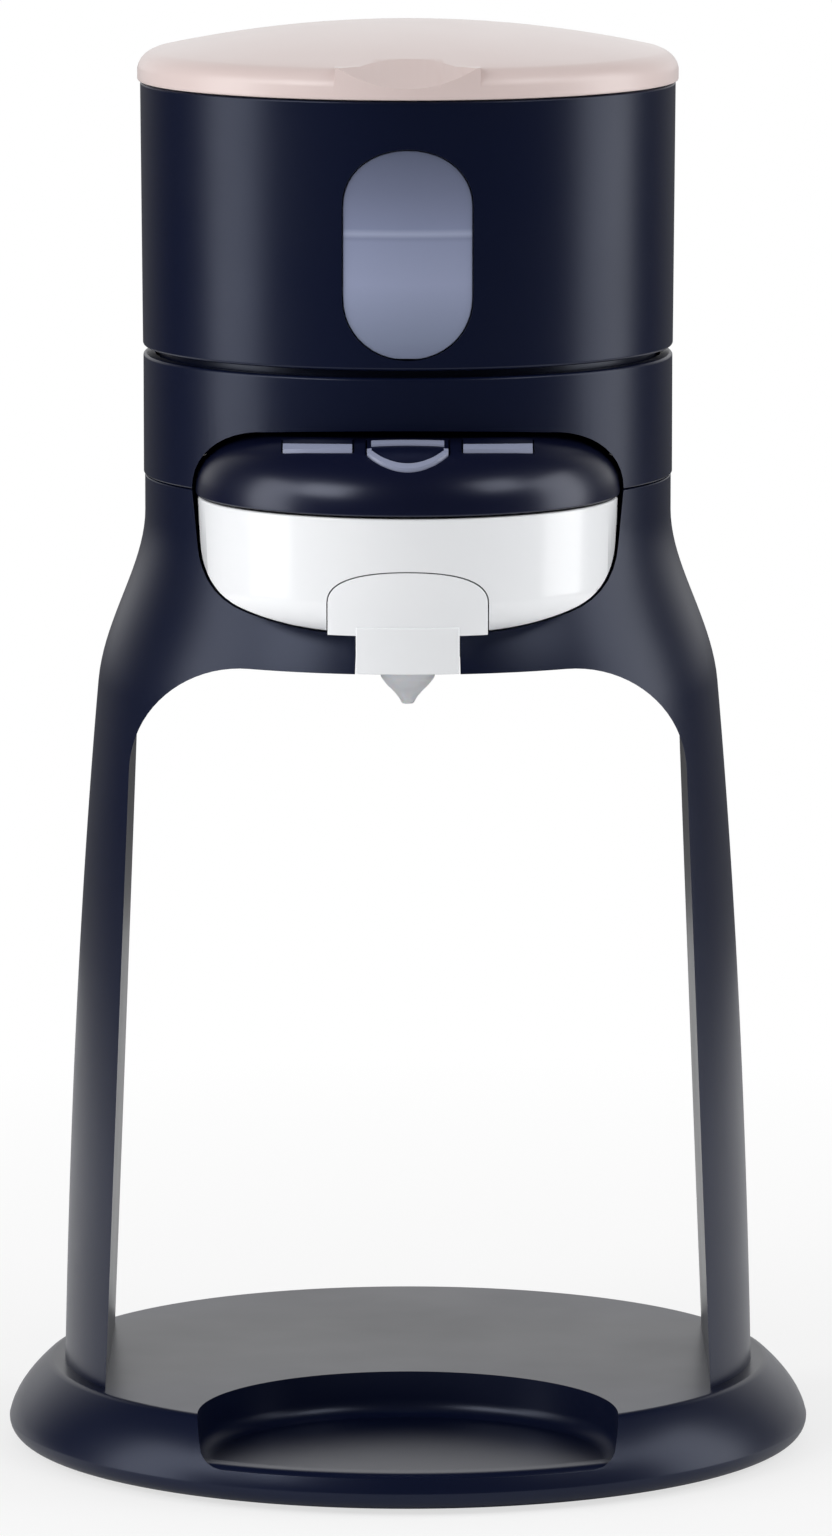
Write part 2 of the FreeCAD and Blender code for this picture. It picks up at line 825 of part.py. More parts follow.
def make_spout_block():
    stem = stem_solid(0)
    stem = fillet_where(stem, 1.2, lambda edge: edge.BoundBox.YMax < stem_front_y + 0.1)
    spout = stem.fuse(head_solid(0))
    inner_face = turned(bowl_profile(bowl_wall), puck_centre)
    spout = spout.cut(inner_face)
    duct = cylinder(nozzle_radius - 2.0, 0, far, 0, spout_y)
    seat = cylinder(nozzle_radius + 0.05, stem_bottom_z - 1, nozzle_top_z, 0, spout_y)
    spout = spout.cut(duct).cut(seat)
    return max(spout.Solids, key=lambda solid: solid.Volume)


def make_drip_nozzle():
    wall = 1.4
    throat = nozzle_radius - 0.6
    outside = turned_points([
        at(nozzle_bore(), nozzle_bottom_z), at(nozzle_tip_radius, nozzle_bottom_z),
        at(nozzle_tip_radius + 0.9, nozzle_bottom_z + 1.6),
        at(throat, stem_bottom_z - 3.4), at(nozzle_radius, stem_bottom_z - 2.6),
        at(nozzle_radius, nozzle_top_z), at(nozzle_radius - wall, nozzle_top_z),
        at(nozzle_radius - wall, stem_bottom_z - 2.0),
        at(nozzle_bore(), nozzle_bottom_z + 2.6)], Vector(0, spout_y, 0))
    return outside


def nozzle_bore():
    return 0.6


def make_powder_sieve():
    radius = sieve_radius
    z = bowl_floor_z + bowl_wall + sieve_rise
    plate = cylinder(radius, z, z + 1.4, 0, puck_centre_y)
    for count, circle in ((6, 6.5), (12, 12.5), (18, 18.0)):
        for i in range(count):
            turn = 2 * math.pi * i / count
            plate = plate.cut(cylinder(1.3, 0, far, circle * math.cos(turn),
                                       puck_centre_y + circle * math.sin(turn)))
    legs = ring(radius, radius - 1.6, bowl_belly_z + bowl_wall + 0.1, z, 0, puck_centre_y)
    gaps = block(-far, far, puck_centre_y - 6, puck_centre_y + 6, 0, z).fuse(
        block(-6, 6, -far, far, 0, z))
    return joined([plate, legs.cut(gaps)])


def make_drawer_rails():
    inner = rail_inner_x() - runner_width - 0.8
    outer = cavity_radius - 0.1
    ledge_top = runner_bottom_z - slide_gap
    side_x = rail_inner_x() + slide_gap
    ledge = block(inner, outer, rail_front_y, rail_back_y, ledge_top - rail_ledge, ledge_top)
    cheek = block(side_x, outer, rail_front_y, rail_back_y, ledge_top - rail_ledge, dome_edge_z - 0.1)
    lip_bottom = runner_bottom_z + runner_height + slide_gap
    lip = block(inner, outer, rail_front_y, rail_back_y, lip_bottom, dome_edge_z - 0.1)
    stop = block(inner, outer, runner_back_y + slide_gap, rail_back_y,
                 ledge_top - rail_ledge, dome_edge_z - 0.1)
    rail = joined([ledge, cheek, lip, stop]).common(cylinder(outer, 0, far))
    return Part.makeCompound([rail, mirrored(rail)])


# Works inside the drum

def make_pump():
    floor = frame_floor_top_z
    body = cylinder(pump_radius, floor, floor + pump_height, pump_x, pump_y)
    cap = cylinder(pump_radius - 2.5, floor + pump_height - 0.1, floor + pump_height + 5, pump_x, pump_y)
    spigot = cylinder(hose_bore - 0.05, floor + pump_height + 4, floor + pump_height + 11, pump_x, pump_y)
    return joined([body, cap, spigot])


def make_heater():
    floor = frame_floor_top_z
    body = cylinder(heater_radius, floor, floor + heater_height, heater_x, pump_y)
    ribs = [cylinder(heater_radius + 0.8, floor + 5 + 7 * i, floor + 8 + 7 * i, heater_x, pump_y)
            for i in range(5)]
    spigot = cylinder(hose_bore - 0.05, floor + heater_height - 0.1,
                      floor + heater_height + 2.5, heater_x, pump_y)
    return joined([body] + ribs + [spigot])


def tube(points, radius, bore):
    """A hose along straight runs joined by tangent arcs of the given points."""
    edges = []
    last = points[0]
    for i in range(1, len(points) - 1):
        before, corner, after = points[i - 1], points[i], points[i + 1]
        to_before = (before - corner).normalize()
        to_after = (after - corner).normalize()
        turn = math.pi - to_before.getAngle(to_after)
        reach = 0.45 * min((before - corner).Length, (after - corner).Length)
        start = corner + to_before * reach
        end = corner + to_after * reach
        bend = reach / math.tan(turn / 2)
        centre = corner + (to_before + to_after).normalize() * (bend / math.cos(turn / 2))
        middle = centre + (corner - centre).normalize() * bend
        edges.append(line(last, start))
        edges.append(arc(start, middle, end))
        last = end
    edges.append(line(last, points[-1]))
    path = Part.Wire(edges)
    direction = (points[1] - points[0]).normalize()
    outer = Part.Wire([Part.Circle(points[0], direction, radius).toShape()])
    inner = Part.Wire([Part.Circle(points[0], direction, bore).toShape()])
    return path.makePipeShell([outer], True, True).cut(path.makePipeShell([inner], True, True))


def make_spray_hose():
    start = Vector(heater_x, pump_y, frame_floor_top_z + heater_height + 0.3)
    top = tray_top_z + hose_rise
    end = Vector(0, puck_centre_y, tray_top_z + 2.2)
    return tube([start, Vector(heater_x, pump_y, top), Vector(heater_x * 0.7, 8, top + 0.4),
                 Vector(0, puck_centre_y + hose_lead, top + 0.4), Vector(0, puck_centre_y, top), end],
                hose_radius, hose_bore)


def make_control_board():
    x = -control_board_width / 2
    y = pump_y + board_setback
    z = frame_floor_top_z + 4.0
    board = block(x, -x, y, y + board_thickness, z, z + control_board_height)
    chips = [block(px, px + chip_size, y - 2.2, y + 0.1, z + chip_height, z + 2 * chip_height)
             for px in (-1.5 * chip_size, chip_size / 2)]
    feet = [block(px - 2, px + 2, y - 1.4, y + 3, frame_floor_top_z, z) for px in (x + 4, -x - 4)]
    return joined([board] + chips + feet)


def make_cord_gland():
    start = cavity_radius - 4
    outside = gland_seat_y()
    body = Part.makeCylinder(gland_radius, outside + 6 - start, Vector(0, start, gland_z), back)
    collar = Part.makeCylinder(gland_radius + 2.4, 2.2, Vector(0, outside + 0.1, gland_z), back)
    bore = Part.makeCylinder(gland_bore_radius, far, Vector(0, start - 5, gland_z), back)
    return body.fuse(collar).cut(bore).removeSplitter()


def gland_seat_y():
    return throat_radius + 0.6


# Water tank and its outlet valve

def tank_taper(bottom, top, inset):
    slope = (tank_top_radius - tank_bottom_radius) / (tank_top_z - tank_bottom_z)
    low = tank_bottom_radius + slope * (bottom - tank_bottom_z) - inset
    high = tank_bottom_radius + slope * (top - tank_bottom_z) - inset
    return turned_points([at(0, bottom), at(low, bottom), at(high, top), at(0, top)])


def window_prism(grow):
    half = window_half_width + grow
    low = window_bottom_z - grow
    high = window_top_z + grow
    radius = window_corner_radius + grow
    turn = radius * (1 - math.sqrt(0.5))
    edges = [line(at(half - radius, low), at(radius - half, low)),
             line(at(half - radius, high), at(radius - half, high))]
    for side in (1, -1):
        edges.append(line(at(side * half, low + radius), at(side * half, high - radius)))
        edges.append(arc(at(side * (half - radius), low), at(side * (half - turn), low + turn),
                         at(side * half, low + radius)))
        edges.append(arc(at(side * (half - radius), high), at(side * (half - turn), high - turn),
                         at(side * half, high - radius)))
    solid = Part.Face(sorted_wire(edges)).extrude(back * (far - 30))
    solid.translate(back * -far)
    return solid


def make_tank_shell():
    shell = tank_taper(tank_bottom_z, tank_top_z, 0)
    shell = shell.cut(tank_taper(tank_bottom_z + tank_wall, tank_top_z + 1, tank_wall))
    skirt = drum_radius - drum_wall - 1.0
    shell = shell.fuse(ring(skirt, skirt - tank_wall, seat_z + slide_gap, tank_bottom_z + 0.5))
    shell = shell.cut(window_prism(0))
    shell = shell.cut(cylinder(outlet_radius + 0.1, 0, tank_bottom_z + tank_wall + 1, 0, outlet_y))
    for side in (-1, 1):
        inner = side * (hinge_inner_half_width + 0.3)
        outer = side * hinge_outer_half_width
        x0, x1 = min(inner, outer), max(inner, outer)
        ear = Part.makeCylinder(hinge_knuckle_radius, x1 - x0, Vector(x0, hinge_y, hinge_z), right)
        web = block(x0, x1, tank_top_radius - 1.2, hinge_y + hinge_knuckle_radius, hinge_z - 11, hinge_z)
        slope = block(x0 - 1, x1 + 1, 0, 12, -12, 0)
        slope.rotate(Vector(0, 0, 0), right, 35)
        slope.translate(Vector(0, tank_top_radius - 0.8, hinge_z - 10.5))
        shell = shell.fuse(ear.fuse(web.cut(slope)))
    bore = Part.makeCylinder(hinge_pin_radius + 0.02, far, Vector(-far / 2, hinge_y, hinge_z), right)
    return shell.cut(bore).removeSplitter()


def make_tank_liner():
    bottom = tank_bottom_z + tank_wall + liner_gap
    top = tank_top_z - liner_top_drop
    inset = tank_wall + liner_gap
    shell = tank_taper(bottom, top, inset)
    boss = tank_taper(bottom + 0.2, top, window_recess).common(window_prism(-window_clearance))
    boss = boss.common(block(-far, far, -far, 0, 0, far))
    hollow = tank_taper(bottom + liner_wall, top + 1, inset + liner_wall)
    liner = shell.fuse(boss).cut(hollow)
    outlet = cylinder(outlet_radius + 0.1, 0, bottom + liner_wall + 1, 0, outlet_y)
    return liner.cut(outlet).removeSplitter()


def make_tank_outlet():
    floor = tank_bottom_z + tank_wall + liner_gap + liner_wall
    bottom = tank_bottom_z - 3.0
    tube_part = ring(outlet_radius, valve_stem_radius + 1.6, bottom, floor + 2.5, 0, outlet_y)
    flange = ring(outlet_radius + 3.5, outlet_radius - 0.5, floor, floor + 2.0, 0, outlet_y)
    spider = ring(valve_stem_radius + 1.7, valve_stem_radius + 0.06, floor, floor + 2.0, 0, outlet_y)
    slots = block(-0.9, 0.9, outlet_y, outlet_y + 3.9, 0, floor)
    return joined([tube_part, flange, spider]).cut(slots)


def make_valve_plunger():
    floor = tank_bottom_z + tank_wall + liner_gap + liner_wall
    stem = cylinder(valve_stem_radius, pin_top_z() + 0.1, floor + 13, 0, outlet_y)
    cap = cylinder(valve_stem_radius + 3.2, floor + 11.6, floor + 13.6, 0, outlet_y)
    return joined([stem, cap])


def make_valve_spring():
    """A wire spring between the outlet's bridge and the plunger's cap."""
    floor = tank_bottom_z + tank_wall + liner_gap + liner_wall
    wire = 0.45
    coil = valve_stem_radius + 1.5
    low = floor + 2.0 + wire + 0.7
    high = floor + 11.6 - wire - 0.1
    turns = 5
    helix = Part.makeLongHelix((high - low) / turns, high - low, coil, 0, False)
    profile = Part.Wire([Part.Circle(Vector(coil, 0, 0), back, wire).toShape()])
    spring = Part.Wire(helix.Edges).makePipeShell([profile], True, True)
    spring.translate(Vector(0, outlet_y, low))
    return spring


def make_tank_seal():
    radius = outlet_radius
    return ring(radius + 0.55, radius + 0.02, tank_bottom_z - 2.6, tank_bottom_z - 1.2, 0, outlet_y)


def make_hinge_pin():
    length = hinge_outer_half_width * 2 + 1
    pin = Part.makeCylinder(hinge_pin_radius, length, Vector(-length / 2, hinge_y, hinge_z), right)
    head = Part.makeCylinder(hinge_pin_radius + 0.9, 0.8, Vector(-length / 2 - 0.8, hinge_y, hinge_z), right)
    return pin.fuse(head).removeSplitter()


# Lid

def lid_outside(inset):
    bottom = lid_bottom_z
    edge_z = bottom + lid_edge_height - inset * 0.3
    edge = at(lid_radius - inset, edge_z)
    shoulder = at(lid_shoulder_radius - inset, lid_shoulder_z - inset)
    crown = at(0, lid_crown_z - inset)
    round_mid = at((edge.x + shoulder.x) / 2 + 0.75, (edge.z + shoulder.z) / 2 + 0.5)
    return turned([
        line(at(0, bottom - (1 if inset else 0)), at(edge.x, bottom - (1 if inset else 0))),
        line(at(edge.x, bottom - (1 if inset else 0)), edge),
        arc(edge, round_mid, shoulder),
        cap_arc(shoulder, crown),
        line(crown, at(0, bottom - (1 if inset else 0)))])


def tab_dish(gap):
    """The space of the finger rest scooped out of the tab, larger by gap below."""
    dish = Part.makeCylinder(tab_dish_radius + gap, lid_radius, Vector(0, -tab_front_lead, 0), back)
    dish.rotate(Vector(0, 0, 0), right, tab_dish_tilt)
    axis_z = tab_top_z - tab_dish_depth + tab_dish_radius / math.cos(math.radians(tab_dish_tilt))
    dish.translate(Vector(0, -lid_radius, axis_z))
    side = tab_half_width - tab_rim + gap
    return dish.common(block(-side, side, -far, tab_back_y + gap, 0, far))


def make_tank_lid():
    outside = lid_outside(0)
    tab = cylinder(lid_radius, lid_bottom_z, tab_top_z).common(
        block(-tab_half_width, tab_half_width, -far, tab_back_y, lid_bottom_z, tab_top_z))
    lid = outside.fuse(tab).cut(tab_dish(0)).cut(lid_outside(lid_wall).cut(tab_dish(lid_wall)))
    plug = ring(lid_plug_radius, lid_plug_radius - lid_plug_wall, lid_bottom_z - lid_plug_depth,
                lid_crown_z)
    groove = ring(lid_plug_radius + 1, lid_plug_radius - 0.7, lid_bottom_z - 3.2, lid_bottom_z - 1.6)
    lid = lid.fuse(plug.cut(groove).common(lid_outside(0)).fuse(
        plug.cut(groove).common(cylinder(far, 0, lid_bottom_z))))
    half = hinge_inner_half_width
    knuckle = Part.makeCylinder(hinge_knuckle_radius, half * 2, Vector(-half, hinge_y, hinge_z), right)
    arm = block(-half, half, lid_radius - 2.2, hinge_y, hinge_z - 0.3, hinge_z + hinge_knuckle_radius)
    ears = block(-hinge_outer_half_width - 1, hinge_outer_half_width + 1, hinge_y - 5.4, far, 0, far)
    notch = ears.cut(block(-half, half, 0, far, 0, far))
    lid = lid.cut(notch.common(cylinder(hinge_knuckle_radius + 30, 0, far, 0, hinge_y)))
    bore = Part.makeCylinder(hinge_pin_radius + hinge_running_gap, far, Vector(-far / 2, hinge_y, hinge_z), right)
    return lid.fuse(knuckle.fuse(arm)).cut(bore).removeSplitter()


def make_lid_seal():
    radius = lid_plug_radius - 0.7
    return ring(radius + seal_section, radius + 0.02, lid_bottom_z - 3.1, lid_bottom_z - 1.7)


def main():
    os.makedirs("parts", exist_ok=True)
    keys = make_keys()
    pieces = {
        "base_shell": make_base_shell(),
        "base_plate": make_base_plate(),
        "base_feet": make_base_feet(),
        "base_screws": make_base_screws(),
        "leg_frame": make_leg_frame(),
        "leg_screws": make_leg_screws(),
        "drum_housing": make_drum_housing(),
        "tank_seat": make_tank_seat(),
        "console_cover": make_console_cover(),
        "console_tray": make_console_tray(),
        "key_mat": make_key_mat(),
        "key_board": make_key_board()[0],
        "spray_head": make_spray_head(),
        "drawer_rails": make_drawer_rails(),
        "water_pump": make_pump(),
        "heater": make_heater(),
        "spray_hose": make_spray_hose(),
        "control_board": make_control_board(),
        "cord_gland": make_cord_gland(),
        "drawer_bowl": make_drawer_bowl(),
        "spout_block": make_spout_block(),
        "drip_nozzle": make_drip_nozzle(),
        "powder_sieve": make_powder_sieve(),
        "tank_shell": make_tank_shell(),
        "tank_liner": make_tank_liner(),
        "tank_outlet": make_tank_outlet(),
        "tank_seal": make_tank_seal(),
        "valve_plunger": make_valve_plunger(),
        "valve_spring": make_valve_spring(),
        "hinge_pin": make_hinge_pin(),
        "tank_lid": make_tank_lid(),
        "lid_seal": make_lid_seal(),
    }
    pieces.update(keys)
    for name, shape in pieces.items():
        save(name, shape)


main()
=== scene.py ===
# %% [markdown]
# # Baby formula maker
# A countertop machine in satin navy plastic: a round base, two legs, a drum with a
# lift-off water tank, a rose lid, and a white bowl with a spout that looks out of
# a round opening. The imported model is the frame, and it fixes every size. This
# notebook makes the smooth, finished pieces that the eye sees over it. Shapes are
# drawn in millimetres and turned to metres in one place.

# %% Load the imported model
import math
import bmesh
import bpy
from mathutils import Matrix, Vector
from mathutils.geometry import interpolate_bezier


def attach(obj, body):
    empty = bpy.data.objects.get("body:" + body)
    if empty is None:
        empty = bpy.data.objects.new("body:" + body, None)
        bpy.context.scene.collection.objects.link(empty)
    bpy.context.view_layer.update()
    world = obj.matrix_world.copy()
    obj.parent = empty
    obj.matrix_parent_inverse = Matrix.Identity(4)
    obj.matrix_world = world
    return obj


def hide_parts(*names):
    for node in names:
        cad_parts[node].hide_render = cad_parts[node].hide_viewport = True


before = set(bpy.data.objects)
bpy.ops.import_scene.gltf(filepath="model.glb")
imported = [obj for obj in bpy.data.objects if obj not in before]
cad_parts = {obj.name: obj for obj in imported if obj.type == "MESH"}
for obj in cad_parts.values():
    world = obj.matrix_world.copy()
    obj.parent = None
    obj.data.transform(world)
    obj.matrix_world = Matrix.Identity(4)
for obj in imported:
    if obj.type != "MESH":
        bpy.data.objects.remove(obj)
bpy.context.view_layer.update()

# %% [markdown]
# ## Drawing outlines
# Almost all of this machine is turned: the mould maker cuts a profile and the form
# goes round with it. A profile here is a short list of (radius, height) points. A
# gentle bow between two of them is drawn with a Bezier curve through a middle point,
# and a corner is rounded by bevelling its point before the profile is spun.
# Subdividing a primitive could reach the same forms, but not to a tenth of a millimetre.

# %% Outline helpers
TURN_STEPS = 160
FINE_SEGMENTS, LARGE_SEGMENTS = 6, 20  # pieces in a small and in a large rounded corner
LARGE_ROUND = 3.0


def bow(start, middle, end, steps=12):
    """Points of a smooth bow from start through middle to end."""
    a, m, b = (Vector((p[0], p[1], 0)) for p in (start, middle, end))
    lift = (m - (a + b) / 2) * 4 / 3
    curve = interpolate_bezier(a, a + (b - a) / 3 + lift, b - (b - a) / 3 + lift, b, steps)
    return [(p.x, p.y) for p in curve]


def pen(start, handle_1, handle_2, end, steps=16):
    """Points of a Bezier curve with its two handles, as the pen tool draws it."""
    knots = (Vector((p[0], p[1], 0)) for p in (start, handle_1, handle_2, end))
    curve = interpolate_bezier(*knots, steps)
    return [(p.x, p.y) for p in curve]


def wire(bm, points, rounds, closed):
    """A chain of edges in the XZ plane, with the points numbered in rounds made round."""
    verts = [bm.verts.new((x, 0, z)) for x, z in points]
    for a, b in zip(verts, verts[1:]):
        bm.edges.new((a, b))
    if closed:
        bm.edges.new((verts[-1], verts[0]))
    for index, size in rounds.items():
        pieces = FINE_SEGMENTS if size < LARGE_ROUND else LARGE_SEGMENTS
        bmesh.ops.bevel(bm, geom=[verts[index]], offset=size, offset_type="OFFSET",
                        segments=pieces, profile=0.5, affect="VERTICES", material=-1)
    return bm.verts[:] + bm.edges[:]


def turned(points, rounds=None, centre=(0.0, 0.0), closed=False, steps=TURN_STEPS):
    """Spin a profile round the upright line through centre."""
    bm = bmesh.new()
    geometry = wire(bm, points, rounds or {}, closed)
    bmesh.ops.spin(bm, geom=geometry, cent=(0, 0, 0), axis=(0, 0, 1), angle=2 * math.pi,
                   steps=steps, use_merge=True)
    bmesh.ops.remove_doubles(bm, verts=bm.verts, dist=0.002)
    bmesh.ops.translate(bm, verts=bm.verts, vec=(centre[0], centre[1], 0))
    bmesh.ops.recalc_face_normals(bm, faces=bm.faces)
    return bm


def slab(points, front, back, rounds=None):
    """A closed outline in the front plane, carried from front to back along Y."""
    bm = bmesh.new()
    wire(bm, points, rounds or {}, True)
    bmesh.ops.contextual_create(bm, geom=bm.edges[:])
    bmesh.ops.translate(bm, verts=bm.verts, vec=(0, front, 0))
    moved = bmesh.ops.extrude_face_region(bm, geom=bm.faces[:])
    tops = [item for item in moved["geom"] if isinstance(item, bmesh.types.BMVert)]
    bmesh.ops.translate(bm, verts=tops, vec=(0, back - front, 0))
    bmesh.ops.recalc_face_normals(bm, faces=bm.faces)
    return bm


def box_form(x0, x1, y0, y1, z0, z1):
    """A block between two corners."""
    return slab([(x0, z0), (x1, z0), (x1, z1), (x0, z1)], y0, y1)


def rod(radius, length, centre, axis="Z", steps=48):
    """A round bar with its middle at centre."""
    turn = {"X": Matrix.Rotation(math.pi / 2, 4, "Y"), "Y": Matrix.Rotation(math.pi / 2, 4, "X"),
            "Z": Matrix.Identity(4)}[axis]
    bm = bmesh.new()
    bmesh.ops.create_cone(bm, cap_ends=True, segments=steps, radius1=radius, radius2=radius,
                          depth=length, matrix=Matrix.Translation(centre) @ turn)
    return bm


# %% [markdown]
# ## Cutting and finishing
# The real openings are made by cores in the mould, which is what a Boolean does: a
# second form is taken away from the first. Every real moulded edge has a small
# radius, and it is that radius which catches a thin line of light, so the cut edges
# are bevelled afterwards. Last, a weighted normal keeps the broad faces calm beside
# those narrow bevels.

# %% Cutting and finishing helpers
SMOOTH_ANGLE = math.radians(38.0)


def mesh_object(name, bm):
    """The bmesh as an object in the scene; the bmesh is used up."""
    mesh = bpy.data.meshes.new(name)
    bm.to_mesh(mesh)
    bm.free()
    obj = bpy.data.objects.new(name, mesh)
    bpy.context.scene.collection.objects.link(obj)
    return obj


def combined(bm, other, operation="DIFFERENCE"):
    """Boolean of two bmeshes, both used up."""
    first = mesh_object("first_form", bm)
    second = mesh_object("second_form", other)
    cut = first.modifiers.new("cut", "BOOLEAN")
    cut.operation = operation
    cut.solver = "EXACT"
    cut.object = second
    bpy.context.view_layer.update()
    result = bmesh.new()
    result.from_object(first, bpy.context.evaluated_depsgraph_get())
    for obj in (first, second):
        mesh = obj.data
        bpy.data.objects.remove(obj)
        bpy.data.meshes.remove(mesh)
    bmesh.ops.remove_doubles(result, verts=result.verts, dist=0.01)
    bmesh.ops.dissolve_degenerate(result, edges=result.edges, dist=0.01)
    return result


def soften(bm, width, chosen=lambda middle: True, angle=32.0, segments=3):
    """Round the sharp edges whose middle is chosen."""
    sharp = [edge for edge in bm.edges if len(edge.link_faces) == 2
             and edge.calc_face_angle(0) > math.radians(angle)
             and chosen((edge.verts[0].co + edge.verts[1].co) / 2)]
    bmesh.ops.bevel(bm, geom=sharp, offset=width, offset_type="OFFSET", segments=segments,
                    profile=0.5, affect="EDGES", material=-1, clamp_overlap=True)
    bmesh.ops.remove_doubles(bm, verts=bm.verts, dist=0.005)
    return bm


def finished(name, bm, body, nodes, materials):
    """Millimetres to metres, smooth shading, and the piece joins the frame."""
    bmesh.ops.scale(bm, vec=(0.001, 0.001, 0.001), verts=bm.verts)
    for face in bm.faces:
        face.smooth = True
    for edge in bm.edges:
        edge.smooth = edge.calc_face_angle(0) < SMOOTH_ANGLE
    obj = mesh_object(name, bm)
    for material in materials:
        obj.data.materials.append(material)
    calm = obj.modifiers.new("calm", "WEIGHTED_NORMAL")
    calm.keep_sharp = True
    calm.weight = 100
    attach(obj, body)
    if nodes:
        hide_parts(*nodes)
    print(name, len(obj.data.polygons), "faces")


# %% [markdown]
# ## Plastics
# The shell is ABS, a hard plastic that takes pigment well. Its mould was spark
# eroded, which leaves a skin of grains about a third of a millimetre across, too
# shallow to feel but enough to spread a highlight. The dome and the keys come from a
# polished mould instead. One recipe makes all of these: a colour with a very slight
# drift, a fine grain in the bump, and a roughness that wanders a little, as it does
# where hands and cloths have been. The grain is a little coarser than the real one,
# so that it still shows when the whole machine fills the picture.

# %% Colour, node and plastic helpers
def linear(code):
    """The linear colour of an sRGB hex value."""
    parts = [int(code[i:i + 2], 16) / 255 for i in (1, 3, 5)]
    light = [c / 12.92 if c <= 0.04045 else ((c + 0.055) / 1.055) ** 2.4 for c in parts]
    return (*light, 1.0)


def add_node(material, kind, settings=None, links=None):
    """One node with its settings, and the outputs that feed its inputs."""
    node = material.node_tree.nodes.new(kind)
    for key, value in (settings or {}).items():
        if key in node.inputs:
            node.inputs[key].default_value = value
        else:
            setattr(node, key, value)
    for key, source in (links or {}).items():
        material.node_tree.links.new(source, node.inputs[key])
    return node


def blank(name):
    """A new material with its shader, its output and the Object coordinates."""
    material = bpy.data.materials.new(name)
    material.use_nodes = True
    shader = material.node_tree.nodes["Principled BSDF"]
    place = add_node(material, "ShaderNodeTexCoord").outputs["Object"]
    return material, shader, place


def moulded(name, colour, drift, roughness, grain_mm, grain_depth, shader_values=None):
    """A moulded plastic: pigment drift, mould grain and uneven sheen."""
    material, shader, place = blank(name)
    cloud = add_node(material, "ShaderNodeTexNoise", {"Scale": 28.0, "Detail": 3.0},
                     {"Vector": place})
    tint = add_node(material, "ShaderNodeMix", {"data_type": "RGBA"},
                    {"Factor": cloud.outputs["Fac"]})
    tint.inputs[6].default_value = linear(colour)
    tint.inputs[7].default_value = linear(drift)
    worn = add_node(material, "ShaderNodeMapRange",
                    {"To Min": roughness * 0.86, "To Max": roughness * 1.14},
                    {"Value": cloud.outputs["Fac"]})
    grain = add_node(material, "ShaderNodeTexNoise", {"Scale": 1000.0 / grain_mm, "Detail": 2.0},
                     {"Vector": place})
    skin = add_node(material, "ShaderNodeBump", {"Strength": grain_depth, "Distance": 0.0001},
                    {"Height": grain.outputs["Fac"]})
    link = material.node_tree.links.new
    link(tint.outputs[2], shader.inputs["Base Color"])
    link(worn.outputs["Result"], shader.inputs["Roughness"])
    link(skin.outputs["Normal"], shader.inputs["Normal"])
    for key, value in (shader_values or {}).items():
        shader.inputs[key].default_value = value
    return material


# %% [markdown]
# The navy ABS is nearly black where no light falls on it, and its grain turns the
# studio lights into broad soft bands. The navy of the dome has the same pigment, from
# a smoother mould: its grain is finer, and a thin clear coat gives it a second,
# closer highlight.

# %% Navy plastics
navy_satin_abs = moulded("navy_satin_abs", "#091029", "#070D24", 0.31, 0.45, 0.10,
                         {"IOR": 1.46, "Specular IOR Level": 0.42,
                          "Specular Tint": linear("#DCE6FF")})
navy_polished_abs = moulded("navy_polished_abs", "#090E29", "#080C24", 0.3, 0.8, 0.03,
                            {"IOR": 1.5, "Coat Weight": 0.1, "Coat Roughness": 0.22,
                             "Specular Tint": linear("#E2E9FF")})
print("navy plastics made")

# %% [markdown]
# The lid is polypropylene with pearl pigment: rose with a milky bloom at glancing
# angles, which the sheen layer gives. The bowl and the spout are white ABS from a
# polished mould.

# %% Rose pearl and white
rose_pearl_pp = moulded("rose_pearl_pp", "#DAC9C6", "#D5C2BE", 0.36, 0.5, 0.06,
                        {"IOR": 1.49, "Sheen Weight": 0.35, "Sheen Roughness": 0.4,
                         "Coat Weight": 0.25, "Coat Roughness": 0.25})
white_polished_abs = moulded("white_polished_abs", "#F1F2F4", "#ECEEF1", 0.22, 0.9, 0.02,
                             {"IOR": 1.53, "Coat Weight": 0.2, "Coat Roughness": 0.1})
print("lid and bowl plastics made")

# %% [markdown]
# ## Base
# The base is one moulding: a round deck with a softly domed rim, and a lower well in
# front with a coved wall and a thin lip along the edge. It is spun as one profile,
# and the well is a second turned form taken out of it. The lip stays because its
# own ring is first taken out of the cutter.

# %% Base shell
WELL_CENTRE = (0.0, -73.0)
rim = bow((90.0, 20.0), (96.7, 12.85), (100.0, 5.7), 10)
base_form = turned([(0, 20.0)] + rim + [(100.0, 1.2), (91.8, 1.2), (91.8, 3.6), (0, 3.6)],
                   {1: 1.0, 11: 4.2, 12: 0.4})
well_form = turned([(0, 9.0), (51.4, 9.0), (51.4, 30.0), (0, 30.0)], {1: 4.0}, WELL_CENTRE)
lip_ring = turned([(93.2, 0.0), (93.2, 10.2)] + bow((96.6, 10.2), (98.8, 9.0), (100.0, 5.7), 6)
                  + [(101.0, 0.0)], {1: 0.5}, closed=True)
base_form = combined(base_form, combined(well_form, lip_ring))
soften(base_form, 0.7, lambda p: p.z > 9.5)
finished("base_shell_skin", base_form, "stand", ["base_shell"], [navy_satin_abs])

# %% [markdown]
# ## Leg frame
# The two legs are the front and sides of one flared tube, which narrows in a soft
# shoulder and carries the drum. An arch cut straight through from front to back
# leaves the legs, and a round opening in front holds the bowl. The leg edges get a
# radius of about two millimetres before the opening is cut, so the opening can have
# its own finer edge.

# %% Outline shared by the frame and the drum
OPENING_GAP = 0.8
BOWL_CENTRE = (0.0, -33.5)
FRONT, BACK = -140.0, 140.0  # past the machine on both sides, for cutters


